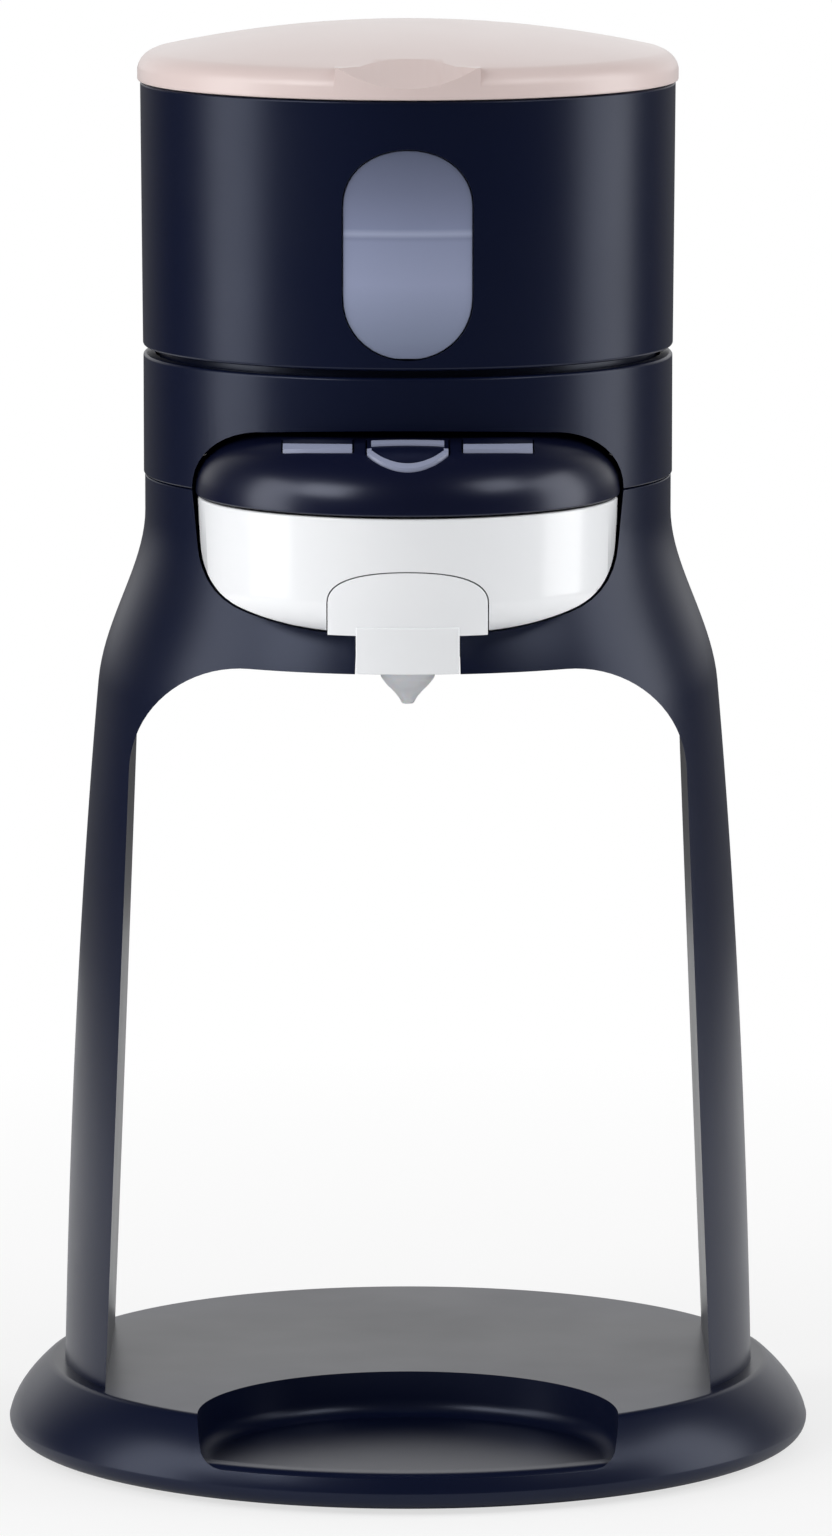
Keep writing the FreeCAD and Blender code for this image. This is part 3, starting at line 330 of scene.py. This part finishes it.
def puck_points(gap):
    """The front outline of bowl and dome, larger by gap, from the bottom up and over."""
    side = [(12.0, 212.2 - gap)]
    side += bow((12.0, 212.2 - gap), (26.0, 213.2 - gap), (39.0 + gap * 0.4, 216.0 - gap), 6)[1:]
    side += bow(side[-1], (47.4 + gap * 0.8, 221.0 - gap * 0.6), (50.7 + gap, 230.0), 8)[1:]
    side += [(52.0 + gap, 243.3)]
    side += pen((52.0 + gap, 243.3), (52.0 + gap, 251.6 + gap), (44.0 + gap, 258.3 + gap),
                (34.0, 258.3 + gap), 12)[1:]
    side += bow((34.0, 258.3 + gap), (17.5, 259.27 + gap), (0.0, 259.6 + gap), 8)[1:]
    return side + [(-x, z) for x, z in reversed(side[:-1])]


def puck_cutter(gap):
    """The opening in front, as a form to take away."""
    return slab(puck_points(gap), FRONT, BOWL_CENTRE[1])


# %% Frame
outside = [(0, 20.0)] + bow((86.0, 20.0), (82.7, 110.0), (77.0, 191.0), 28)
outside += pen((77.0, 191.0), (75.5, 206.9), (65.2, 219.8), (65.2, 234.0), 20)[1:]
frame_form = turned(outside + [(65.2, 243.0), (0, 243.0)], {len(outside): 0.4})
arch = slab([(-74.8, 19.0), (74.8, 19.0), (67.3, 202.2), (-67.3, 202.2)], FRONT, BACK,
            {2: 28.8, 3: 28.8})
frame_form = combined(frame_form, arch)
soften(frame_form, 2.2, lambda p: 21.0 < p.z < 203.0, segments=4)
frame_form = combined(frame_form, rod(62.2, 60.0, (0, 0, 235.2), steps=TURN_STEPS))
frame_form = combined(frame_form, puck_cutter(OPENING_GAP))
# The spout passes through a notch, wide in front and close behind, with a slot for its hood.
for half, front, back, low, high in ((13.4, FRONT, -83.0, 197.2, 214.0),
                                     (12.75, -83.5, -41.6, 197.2, 214.0),
                                     (20.1, FRONT, -56.5, 212.3, 216.5)):
    frame_form = combined(frame_form, box_form(-half, half, front, back, low, high))
soften(frame_form, 1.2, lambda p: p.y < -30.0 and p.z > 211.0 and abs(p.x) > 21.0)
finished("leg_frame_skin", frame_form, "stand", ["leg_frame"], [navy_satin_abs])

# %% [markdown]
# ## Drum housing
# A plain band above the shoulder, with a hairline seam under it and one above it
# where the tank lifts off. The dome's opening runs up into its front.

# %% Drum
drum_form = turned([(65.5, 243.3), (65.5, 273.2), (62.5, 273.2), (62.5, 243.3)],
                   {0: 0.4, 1: 0.8, 2: 0.4}, closed=True)
drum_form = combined(drum_form, puck_cutter(OPENING_GAP))
soften(drum_form, 1.2, lambda p: p.y < -20.0 and p.z > 243.5 and abs(p.x) < 60.0)
finished("drum_housing_skin", drum_form, "stand", ["drum_housing"],
         [navy_satin_abs])

# %% [markdown]
# ## Tank shell
# The tank is a slightly flared cup that lifts off the drum. A window with fully
# rounded ends is cut in its front, a skirt below centres it on the seat, and two
# small ears at the back carry the lid's pin.

# %% Tank shell
WINDOW_LOW, WINDOW_HIGH = 277.4, 328.6
OUTLET = (0.0, 30.0)
HINGE_Y, HINGE_Z, PIN_EAR = 69.9, 341.6, 3.4


def window_points(grow):
    """The window's outline, larger by grow: upright sides with a full round at each end."""
    half = 15.9 + grow
    low, high = WINDOW_LOW - grow, WINDOW_HIGH + grow
    over = pen((half, high - 13.6), (half, high - 5.6), (8.9, high), (0.0, high), 12)
    over += [(-x, z) for x, z in reversed(over[:-1])]
    under = pen((-half, low + 15.0), (-half, low + 6.3), (-8.9, low), (0.0, low), 12)
    under += [(-x, z) for x, z in reversed(under[:-1])]
    return over + under


def window_cutter(grow):
    """The window as a form to take away, or to trim the pad with."""
    return slab(window_points(grow), FRONT, -30.0)


tank_form = turned([(0, 275.0), (65.6, 275.0), (66.1, 340.2), (63.7, 340.2), (63.2, 277.4),
                    (0, 277.4)], {1: 0.8, 2: 0.6, 3: 0.5})
tank_form = combined(tank_form, window_cutter(0.0))
soften(tank_form, 0.5, lambda p: p.y < -58.0 and 276.0 < p.z < 330.0)
skirt = turned([(61.5, 271.9), (61.5, 275.5), (59.1, 275.5), (59.1, 271.9)], {0: 0.5}, closed=True)
tank_form = combined(tank_form, skirt, "UNION")
tank_form = combined(tank_form, rod(7.1, 8.0, (*OUTLET, 275.0)))
for side in (-1, 1):
    middle = side * 11.15
    foot = box_form(middle - 2.85, middle + 2.85, 64.9, 73.3, 334.0, HINGE_Z)
    ear = combined(rod(PIN_EAR, 5.7, (middle, HINGE_Y, HINGE_Z), "X"), foot, "UNION")
    tank_form = combined(tank_form, ear, "UNION")
finished("tank_shell_skin", tank_form, "tank", ["tank_shell"], [navy_satin_abs])

# %% [markdown]
# ## Window
# The liner is one clear copolyester moulding: a thin cup inside the shell, with a
# thick pad in front that fills the window. The pad is frosted on its inner side, so it
# glows softly in front of the dark tank instead of showing everything behind it; that
# glow is painted light, a colour ramp up the pad. It paints a paler lower half, darker
# ends, and the water's surface as a thin painted highlight with painted shade on each
# side. Plain transmission would look black here, so the frosting is mostly diffuse.

# %% Frosted copolyester
frosted_copolyester, shader, place = blank("frosted_copolyester")
height = add_node(frosted_copolyester, "ShaderNodeSeparateXYZ", None, {"Vector": place})
rise = add_node(frosted_copolyester, "ShaderNodeMapRange",
                {"From Min": WINDOW_LOW / 1000, "From Max": WINDOW_HIGH / 1000},
                {"Value": height.outputs["Z"]})
painted_light_ramp = add_node(frosted_copolyester, "ShaderNodeValToRGB", None, {"Fac": rise.outputs["Result"]})
# Painted light over the plastic's own blue-grey: paler in the lower half, darker towards the top
# and the bottom, and at the water line a painted highlight with painted shade on each side.
painted_light_stops = [(0.0, "#767E98"), (0.09, "#838CA6"), (0.36, "#99A1BF"), (0.56, "#8F97B5"),
         (0.578, "#858DAA"), (0.60, "#A3ABC6"), (0.625, "#858DAB"), (0.80, "#737A95"),
         (1.0, "#5F667E")]
while len(painted_light_ramp.color_ramp.elements) < len(painted_light_stops):
    painted_light_ramp.color_ramp.elements.new(0.5)
for element, (position, colour) in zip(painted_light_ramp.color_ramp.elements, painted_light_stops):
    element.position = position
    element.color = linear(colour)
mist = add_node(frosted_copolyester, "ShaderNodeTexNoise", {"Scale": 900.0, "Detail": 3.0},
                {"Vector": place})
frost = add_node(frosted_copolyester, "ShaderNodeBump", {"Strength": 0.06, "Distance": 0.0001},
                 {"Height": mist.outputs["Fac"]})
link = frosted_copolyester.node_tree.links.new
link(painted_light_ramp.outputs["Color"], shader.inputs["Base Color"])
link(frost.outputs["Normal"], shader.inputs["Normal"])
for key, value in (("Roughness", 0.3), ("IOR", 1.57), ("Transmission Weight", 0.12),
                   ("Coat Weight", 0.4), ("Coat Roughness", 0.08)):
    shader.inputs[key].default_value = value

clear_copolyester = moulded("clear_copolyester", "#C4CBDB", "#BCC4D6", 0.14, 0.9, 0.02,
                            {"IOR": 1.57, "Transmission Weight": 0.75})
print("window plastics made")

# %% Liner
def add_second_material(bm, shot):
    """Add a second piece to a form, with the second material: the liner's pad, or a key's painted
    highlight; the piece is used up.
    """
    mesh = bpy.data.meshes.new("second_material_piece")
    shot.to_mesh(mesh)
    shot.free()
    first_face = len(bm.faces)
    bm.from_mesh(mesh)
    bpy.data.meshes.remove(mesh)
    for face in list(bm.faces)[first_face:]:
        face.material_index = 1


liner_form = turned([(0, 277.7), (62.9, 277.7), (63.37, 337.2), (61.57, 337.2), (61.12, 279.5),
                     (0, 279.5)], {1: 1.0, 2: 0.4, 3: 0.4})
liner_form = combined(liner_form, rod(7.1, 8.0, (*OUTLET, 279.0)))
pad = turned([(61.2, 277.9), (65.12, 277.9), (65.55, 330.0), (61.4, 330.0)], closed=True)
pad = combined(pad, window_cutter(-0.25), "INTERSECT")
soften(pad, 0.45, lambda p: p.y < -50.0)
add_second_material(liner_form, pad)
finished("tank_liner_skin", liner_form, "tank", ["tank_liner"],
         [clear_copolyester, frosted_copolyester])

# %% [markdown]
# ## Lid
# A shallow pearl cap with a rounded edge. The tab in front is filled out to a small
# upright face and scooped by a cylinder that leans back, so its front edge
# is a hanging crescent and its two sides stay as thin ridges. Inside, a ring plugs
# the tank and carries the seal.

# %% Lid
LID_RADIUS = 66.8
lid_points = bow((0.0, 352.4), (28.0, 351.05), (56.6, 346.9), 12)
lid_points += [(56.6, 336.5), (58.6, 336.5), (58.6, 337.3), (57.9, 337.3), (57.9, 338.9),
               (58.6, 338.9), (58.6, 345.9), (60.4, 345.5), (64.4, 343.0), (64.4, 340.5),
               (LID_RADIUS, 340.5)]
corner = len(lid_points) - 1
lid_points += bow((LID_RADIUS, 343.5), (65.45, 346.25), (62.6, 348.0), 6)
lid_points += bow((62.6, 348.0), (31.3, 353.12), (0.0, 354.8), 16)[1:]
lid_form = turned(lid_points, {corner: 0.5})
tab = combined(turned([(0, 341.0), (LID_RADIUS, 341.0), (LID_RADIUS, 348.2), (0, 348.2)], {1: 0.4}),
               box_form(-17.6, 17.6, -90.0, -60.0, 330.0, 360.0), "INTERSECT")
lid_form = combined(lid_form, tab, "UNION")
SCOOP_TILT = math.radians(28.0)
scoop = rod(45.0, LID_RADIUS, (0, 0, 0), "Y", 128)
bmesh.ops.translate(scoop, verts=scoop.verts, vec=(0, 3.4, 0))
bmesh.ops.rotate(scoop, cent=(0, 0, 0), matrix=Matrix.Rotation(SCOOP_TILT, 3, "X"),
                 verts=scoop.verts)
bmesh.ops.translate(scoop, verts=scoop.verts, vec=(0, -LID_RADIUS, 394.27))
scoop = combined(scoop, box_form(-16.8, 16.8, -120.0, -30.0, 300.0, 460.0), "INTERSECT")
lid_form = combined(lid_form, scoop)
for middle in (-11.5, 11.5):
    lid_form = combined(lid_form, box_form(middle - 3.5, middle + 3.5, 64.5, 80.0, 330.0, 360.0))
knuckle = combined(rod(PIN_EAR, 16.0, (0, HINGE_Y, HINGE_Z), "X"),
                   box_form(-8.0, 8.0, 64.6, HINGE_Y, 341.3, 345.0), "UNION")
lid_form = combined(lid_form, knuckle, "UNION")
soften(lid_form, 0.35, lambda p: p.y < -50.0 and p.z > 341.2 and abs(p.x) < 18.5, segments=2)
finished("tank_lid_skin", lid_form, "lid", ["tank_lid"], [rose_pearl_pp])

# %% [markdown]
# ## Dome and keys
# The dome over the bowl is a thin turned shell, cut off behind the drum's wall and
# pierced for three keys. Each key is the same dome, raised by less than a
# millimetre, cut to its own plan. The centre key ends in a round nose, and the
# two others are straight bars that disappear under the drum.

# %% Dome and keys
KEY_LOW, KEY_HIGH = 240.0, 270.0  # key plans reach past the dome, up and down
KEY_BACK = 66.3  # the keys end behind the drum's wall
BAR_ARC, BAR_ARC_CENTRE = 52.0, (0, -24.0, 255.0)


def dome_points(inset, lift):
    """The dome's profile from its edge to its pole, sunk by inset and raised by lift."""
    side = (52.0 - inset, 243.3)
    shoulder = pen(side, (52.0 - inset, 251.58 - inset * 0.5 + lift * 0.5),
                   (43.94 - inset * 0.5, 258.3 - inset + lift), (34.0, 258.3 - inset + lift), 14)
    top = bow((34.0, 258.3 - inset + lift), (17.0, 259.27 - inset + lift),
              (0.0, 259.6 - inset + lift), 8)
    return shoulder + top[1:]


def key_plan(kind, gap):
    """The plan of a key as an upright block, larger by gap."""
    if kind == "key_centre":
        half = 9.8 + gap
        nose = 11.5 + gap
        plan = combined(box_form(-half, half, -90.0, -40.0, KEY_LOW, KEY_HIGH),
                        rod(nose, 40.0, (0, -70.0, 255.0), steps=96), "INTERSECT")
        plan = combined(plan, box_form(-half, half, -76.0, -40.0, KEY_LOW, KEY_HIGH), "UNION")
    else:
        left, right = 13.4 - gap, 30.2 + gap
        if kind == "key_left":
            left, right = -right, -left
        plan = combined(box_form(left, right, -90.0, -40.0, KEY_LOW, KEY_HIGH),
                        rod(BAR_ARC + gap, 40.0, BAR_ARC_CENTRE, steps=TURN_STEPS), "INTERSECT")
    return combined(plan, rod(KEY_BACK - gap, 60.0, (0, 0, 255.0), steps=TURN_STEPS))


inner_dome = list(reversed(dome_points(2.4, 0.0)))
dome_form = turned(inner_dome + [(49.6, 241.9), (52.0, 241.9)] + dome_points(0.0, 0.0),
                   {len(inner_dome) + 1: 0.4}, BOWL_CENTRE)
dome_form = combined(dome_form, box_form(-60.0, 60.0, -22.0, 30.0, 230.0, 270.0))
for kind in ("key_centre", "key_left", "key_right"):
    dome_form = combined(dome_form, key_plan(kind, 0.4))
soften(dome_form, 0.3, lambda p: p.z > 254.0 and p.y < -62.0, segments=2)
finished("console_cover_skin", dome_form, "stand", ["console_cover"],
         [navy_polished_abs])

# %% [markdown]
# The keys are dark navy, and the light on their edges is painted on in pale grey: a
# painted highlight strip along the front of each bar, and on the centre key a strip
# across and an outline round the nose. The painted highlight could be the faces of a
# bevel with a material of their own, but a bevel is too narrow here. So each highlight's
# plan is cut out of the dark key, and the same plan of a slightly higher shell fills the cut.

# %% Keys
# Painted highlight: this pale grey stands in for the light caught along the keys' front edges.
painted_highlight_grey = moulded("painted_highlight_grey_abs", "#8F95AD", "#878DA5", 0.35, 0.8, 0.03, {"IOR": 1.5})


def key_layer(kind, lift):
    """The plan of a key cut out of a shell that stands above the dome by lift."""
    shell = [point for point in dome_points(0.0, lift) if point[1] > 248.2]
    raised = turned([(0, 247.8), (51.2, 247.8)] + shell, centre=BOWL_CENTRE)
    return combined(raised, key_plan(kind, 0.0), "INTERSECT")


def painted_highlight_plans(kind):
    """Where the painted highlight shows, as upright blocks."""
    if kind == "key_centre":
        nose = combined(box_form(-12.0, 12.0, -90.0, -75.0, KEY_LOW, KEY_HIGH),
                        key_plan(kind, -1.1))
        return [nose, box_form(-8.8, 8.8, -73.4, -70.7, KEY_LOW, KEY_HIGH)]
    return [combined(box_form(-34.0, 34.0, -90.0, -40.0, 235.0, 275.0),
                     rod(BAR_ARC - 2.2, 60.0, BAR_ARC_CENTRE, steps=TURN_STEPS))]


for kind, body in (("key_centre", "centre_key"), ("key_left", "left_key"),
                   ("key_right", "right_key")):
    # Each key is cut for its painted highlight strips, and the pale grey fills the cuts.
    highlight_strips = painted_highlight_plans(kind)
    key_form = key_layer(kind, 0.4)
    for highlight_strip in highlight_strips:
        key_form = combined(key_form, highlight_strip.copy())
    for highlight_strip in highlight_strips:
        add_second_material(key_form, combined(key_layer(kind, 0.9), highlight_strip, "INTERSECT"))
    finished(kind + "_skin", key_form, body, [kind], [navy_polished_abs, painted_highlight_grey])

# %% [markdown]
# ## Bowl and spout
# The powder bowl is an upright drum whose lower edge follows the opening's outline, so
# it is a turned form crossed with that outline. Two runners sit on its sides. The
# spout is a separate white moulding let into its front: a rounded hood above and a
# square stem below, both turned about the bowl's axis so that they lie flush with it.

# %% Bowl
MOUTH_Y = -52.0


def hood_points(gap):
    """The front outline of the spout's hood, larger by gap."""
    half = 19.3 + gap
    crown = 228.2 + gap
    side = pen((half, 220.6), (half, 225.6 + gap), (11.8 + gap, crown), (0.0, crown), 16)
    foot = [(-half, 212.9 - gap), (half, 212.9 - gap)]
    return foot + side + [(-x, z) for x, z in reversed(side[:-1])]


def bowl_points(inset):
    """The bowl's outline from the middle of its bottom up one side, smaller by inset."""
    side = bow((12.0, 212.2 + inset), (26.0, 213.2 + inset), (39.0 - inset * 0.4, 216.0 + inset), 8)
    side += bow(side[-1], (47.4 - inset * 0.8, 221.0 + inset * 0.6), (50.7 - inset, 230.0), 12)[1:]
    return [(0.0, 212.2 + inset)] + side


def bowl_inside():
    """The room for powder."""
    return turned(bowl_points(2.2) + [(49.3, 242.0), (0.0, 242.0)], centre=BOWL_CENTRE)


bowl_form = turned([(0, 212.2), (50.9, 212.2), (51.5, 241.3), (0, 241.3)], {1: 9.0, 2: 0.6},
                   BOWL_CENTRE)
outline = [(x, z + 0.6) for x, z in bowl_points(0.0)[1:]] + [(51.5, 243.0)]
outline += [(-x, z) for x, z in reversed(outline)]
bowl_form = combined(bowl_form, slab(outline, FRONT, 80.0), "INTERSECT")
soften(bowl_form, 2.5, lambda p: p.z < 236.0, segments=4)
bowl_form = combined(bowl_form, bowl_inside())
for left, right in ((-51.5, -48.5), (48.5, 51.5)):
    runner = box_form(left, right, -29.5, 18.0, 233.0, 238.0)
    bowl_form = combined(bowl_form, soften(runner, 0.5), "UNION")
bowl_form = combined(bowl_form, slab(hood_points(0.3), -90.0, -57.1))
bowl_form = combined(bowl_form, box_form(-12.8, 12.8, -90.0, -42.7, 202.1, 215.3))
bowl_form = combined(bowl_form, rod(5.4, 20.0, (0, MOUTH_Y, 215.0)))
finished("drawer_bowl_skin", bowl_form, "drawer", ["drawer_bowl"],
         [white_polished_abs])

# %% Spout
spout_form = slab(hood_points(0.0), -92.0, -57.4)
face_form = turned([(0, 205.0), (51.6, 205.0), (51.9, 214.0), (51.7, 222.0), (50.9, 229.5),
                    (0, 229.5)], {2: 3.0, 3: 3.0}, BOWL_CENTRE)
spout_form = combined(spout_form, face_form, "INTERSECT")
soften(spout_form, 0.8, lambda p: p.y < -74.0 and p.z > 210.0, segments=4)
stem = combined(box_form(-12.5, 12.5, -90.0, -43.0, 203.7, 215.0),
                rod(52.3, 40.0, (*BOWL_CENTRE, 209.0), steps=TURN_STEPS), "INTERSECT")
soften(stem, 1.0, lambda p: p.y < -60.0, segments=4)
spout_form = combined(spout_form, stem, "UNION")
spout_form = combined(spout_form, bowl_inside())
spout_form = combined(spout_form, rod(6.85, 6.0, (0, MOUTH_Y, 202.8)))
spout_form = combined(spout_form, rod(4.8, 20.0, (0, MOUTH_Y, 212.0)))
finished("spout_block_skin", spout_form, "drawer", ["spout_block"],
         [white_polished_abs])

# %% [markdown]
# The nozzle is soft silicone, a little see-through and slightly tacky, so its
# highlights are wide and its edges glow. It is a turned cone with a round lip.

# %% Nozzle
nozzle_silicone = moulded("nozzle_silicone", "#E2E3E8", "#DADCE1", 0.42, 0.5, 0.05,
                          {"IOR": 1.41, "Subsurface Weight": 0.25, "Subsurface Scale": 0.004,
                           "Transmission Weight": 0.1})
nozzle_form = turned([(0.6, 195.2), (0.6, 192.2), (1.4, 192.2), (2.2, 193.7), (3.6, 195.4),
                      (4.9, 196.6), (6.5, 198.6), (6.9, 200.4), (6.9, 205.8), (5.4, 205.8),
                      (5.4, 200.4)], {2: 0.3, 3: 0.6, 4: 0.6, 5: 0.5, 6: 0.5, 7: 0.3},
                     (0.0, MOUTH_Y), closed=True, steps=64)
finished("drip_nozzle_skin", nozzle_form, "drawer", ["drip_nozzle"],
         [nozzle_silicone])

# %% [markdown]
# ## Parts that keep their own shape
# Plates, feet, screws, seals, rails and the works inside are already right in the
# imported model, so they only get a finish. Inner mouldings are grey polypropylene,
# the feet, seals and gland are rubber, and the powder sieve is white like the bowl.

# %% Inner plastics and rubber
grey_pp = moulded("grey_matt_pp", "#5B5F68", "#555962", 0.5, 0.6, 0.08, {"IOR": 1.49})
black_pbt = moulded("black_pbt", "#17181B", "#141518", 0.42, 0.6, 0.08, {"IOR": 1.55})
white_pp = moulded("white_satin_pp", "#E9EAEC", "#E4E6E9", 0.36, 0.7, 0.04, {"IOR": 1.49})
dark_rubber = moulded("dark_rubber", "#1B1B1D", "#222225", 0.72, 0.8, 0.14,
                      {"IOR": 1.52, "Specular IOR Level": 0.35})
clear_silicone = moulded("clear_silicone", "#D5D7DA", "#CDD0D4", 0.4, 0.6, 0.04,
                         {"IOR": 1.41, "Transmission Weight": 0.35, "Subsurface Weight": 0.2,
                          "Subsurface Scale": 0.003})
print("inner plastics made")

# %% [markdown]
# Screws, pin and spring are drawn or turned stainless steel. Drawing leaves fine
# lines round the bar, so the roughness comes from a noise stretched across them. The
# heater is a die-cast aluminium block with a sandy skin, and the circuit
# board has a green solder mask over faint copper tracks.

# %% Metals and board
def bare_metal(name, colour, roughness, scale):
    """A bare metal whose roughness follows a noise stretched by scale."""
    material, shader, place = blank(name)
    spread = add_node(material, "ShaderNodeMapping", None, {"Vector": place})
    spread.inputs["Scale"].default_value = scale
    lines = add_node(material, "ShaderNodeTexNoise", {"Scale": 1.0, "Detail": 4.0},
                     {"Vector": spread.outputs[0]})
    rough = add_node(material, "ShaderNodeMapRange",
                     {"To Min": roughness * 0.7, "To Max": roughness * 1.3},
                     {"Value": lines.outputs["Fac"]})
    skin = add_node(material, "ShaderNodeBump", {"Strength": 0.12, "Distance": 0.0001},
                    {"Height": lines.outputs["Fac"]})
    material.node_tree.links.new(rough.outputs["Result"], shader.inputs["Roughness"])
    material.node_tree.links.new(skin.outputs["Normal"], shader.inputs["Normal"])
    shader.inputs["Base Color"].default_value = linear(colour)
    shader.inputs["Metallic"].default_value = 1.0
    return material


steel = bare_metal("drawn_stainless_steel", "#B9BBBD", 0.3, (300.0, 300.0, 4000.0))
cast_aluminium = bare_metal("cast_aluminium", "#A9ABAE", 0.5, (1500.0, 1500.0, 1500.0))
board_green, shader, place = blank("solder_mask_green")
tracks = add_node(board_green, "ShaderNodeTexBrick", {"Scale": 160.0, "Mortar Size": 0.06},
                  {"Vector": place})
for key, colour in (("Color1", "#1D5A34"), ("Color2", "#1A5230"), ("Mortar", "#2F7A48")):
    tracks.inputs[key].default_value = linear(colour)
board_green.node_tree.links.new(tracks.outputs["Color"], shader.inputs["Base Color"])
shader.inputs["Roughness"].default_value = 0.35
print("metals made")

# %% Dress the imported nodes
dress = {
    grey_pp: ["base_plate", "tank_seat", "console_tray", "drawer_rails", "spray_head"],
    black_pbt: ["water_pump"],
    white_pp: ["powder_sieve", "tank_outlet", "valve_plunger"],
    dark_rubber: ["base_feet", "cord_gland", "key_mat", "lid_seal", "tank_seal"],
    clear_silicone: ["spray_hose"],
    steel: ["base_screws", "leg_screws", "valve_spring", "hinge_pin"],
    cast_aluminium: ["heater"],
    board_green: ["key_board", "control_board"],
}
for material, names in dress.items():
    for name in names:
        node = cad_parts[name]
        node.data.materials.clear()
        node.data.materials.append(material)
print(sum(len(names) for names in dress.values()), "nodes dressed")

# %% [markdown]
# ## Studio
# The picture is a plain catalogue one: a pale floor that runs off into white, two tall
# soft boxes beside the machine for the upright highlights on its drum, and two lamps
# above and in front, which light the white bowl and leave two soft marks on the dome.
# The world is white to the camera. To reflections it is bright behind the machine
# and above the table, and dim in front and below, like a real studio, where only the
# wall is lit. So the deck picks up the wall, and the drum's sides stay dark.

# %% Floor
floor_paint, shader, place = blank("floor_paint")
shader.inputs["Base Color"].default_value = linear("#F4F4F4")
shader.inputs["Roughness"].default_value = 0.7
paper = add_node(floor_paint, "ShaderNodeTexNoise", {"Scale": 400.0}, {"Vector": place})
tooth = add_node(floor_paint, "ShaderNodeBump", {"Strength": 0.03, "Distance": 0.0002},
                 {"Height": paper.outputs["Fac"]})
floor_paint.node_tree.links.new(tooth.outputs["Normal"], shader.inputs["Normal"])
reach = add_node(floor_paint, "ShaderNodeVectorMath", {"operation": "LENGTH"}, {0: place})
fade = add_node(floor_paint, "ShaderNodeMapRange",
                {"From Min": 0.16, "From Max": 0.55, "To Min": 0.68},
                {"Value": reach.outputs["Value"]})
rays = add_node(floor_paint, "ShaderNodeLightPath").outputs
seen = add_node(floor_paint, "ShaderNodeMath", {"operation": "MAXIMUM"},
                {0: rays["Is Camera Ray"], 1: rays["Is Transmission Ray"]})
share = add_node(floor_paint, "ShaderNodeMath", {"operation": "MULTIPLY"},
                 {0: seen.outputs[0], 1: fade.outputs["Result"]})
white = add_node(floor_paint, "ShaderNodeEmission", {"Strength": 1.0})
blend = add_node(floor_paint, "ShaderNodeMixShader", None,
                 {0: share.outputs[0], 1: shader.outputs[0], 2: white.outputs[0]})
surface = floor_paint.node_tree.nodes["Material Output"].inputs["Surface"]
floor_paint.node_tree.links.new(blend.outputs[0], surface)

floor_form = bmesh.new()
bmesh.ops.create_circle(floor_form, cap_ends=True, segments=96, radius=0.8)
floor = mesh_object("floor", floor_form)
floor.data.materials.append(floor_paint)
print("floor laid")

# %% World
studio = bpy.data.worlds.new("studio")
studio.use_nodes = True
bpy.context.scene.world = studio
air = studio.node_tree.nodes["Background"]
way = add_node(studio, "ShaderNodeTexCoord").outputs["Generated"]
split = add_node(studio, "ShaderNodeSeparateXYZ", None, {0: way})
behind = add_node(studio, "ShaderNodeMapRange",
                  {"From Min": 0.5, "From Max": 0.97, "To Min": 0.03, "To Max": 0.9,
                   "interpolation_type": "SMOOTHSTEP"}, {"Value": split.outputs["Y"]})
lit = add_node(studio, "ShaderNodeMapRange",
               {"From Min": -0.1, "From Max": 0.1, "To Min": 0.14, "To Max": 1.0,
                "interpolation_type": "SMOOTHSTEP"}, {"Value": split.outputs["Z"]})
wall = add_node(studio, "ShaderNodeMath", {"operation": "MULTIPLY"},
                {0: behind.outputs["Result"], 1: lit.outputs["Result"]})
rays = add_node(studio, "ShaderNodeLightPath").outputs
ambient = add_node(studio, "ShaderNodeMix", {"data_type": "FLOAT"},
                   {0: rays["Is Diffuse Ray"], 2: wall.outputs[0]})
ambient.inputs[3].default_value = 0.48
seen = add_node(studio, "ShaderNodeMath", {"operation": "MAXIMUM"},
                {0: rays["Is Camera Ray"], 1: rays["Is Transmission Ray"]})
level = add_node(studio, "ShaderNodeMath", {"operation": "MAXIMUM"},
                 {0: seen.outputs[0], 1: ambient.outputs[0]})
studio.node_tree.links.new(level.outputs[0], air.inputs["Strength"])
air.inputs["Color"].default_value = (1.0, 1.0, 1.0, 1.0)
print("world set")

# %% Lamps
def soft_box(name, place, target, width, height, power):
    """A rectangular lamp that faces target."""
    light = bpy.data.lights.new(name, "AREA")
    light.shape = "RECTANGLE"
    light.size = width
    light.size_y = height
    light.energy = power
    lamp = bpy.data.objects.new(name, light)
    lamp.location = place
    lamp.rotation_euler = (Vector(target) - Vector(place)).to_track_quat("-Z", "Y").to_euler()
    bpy.context.scene.collection.objects.link(lamp)


soft_box("left_box", (-1.45, -0.28, 0.55), (0, 0, 0.22), 0.75, 1.3, 10.0)
soft_box("right_box", (1.45, 0.09, 0.55), (0, 0, 0.22), 0.85, 1.3, 10.0)
soft_box("front_left_box", (-1.3, -1.15, 1.25), (0, 0, 0.2), 0.9, 0.8, 11.5)
soft_box("front_right_box", (1.5, -0.95, 1.6), (0, 0, 0.2), 0.9, 0.8, 8.5)
print("four lamps")

# %% [markdown]
# ## Camera
# The photograph was taken with a long lens from a little above the lid. The angle
# and distance come from how flat its rings look at the base, the seams and the lid.

# %% Camera
view = bpy.data.cameras.new("catalogue_view")
view.sensor_width = 36.0
view.lens = 247.15
view.clip_end = 20.0
camera = bpy.data.objects.new("catalogue_view", view)
camera.location = (0.002, -2.600, 0.5434)
camera.rotation_euler = (math.radians(81.8), 0.0, 0.0)
bpy.context.scene.collection.objects.link(camera)
bpy.context.scene.camera = camera
bpy.context.scene.view_settings.view_transform = "Standard"
print("camera placed")
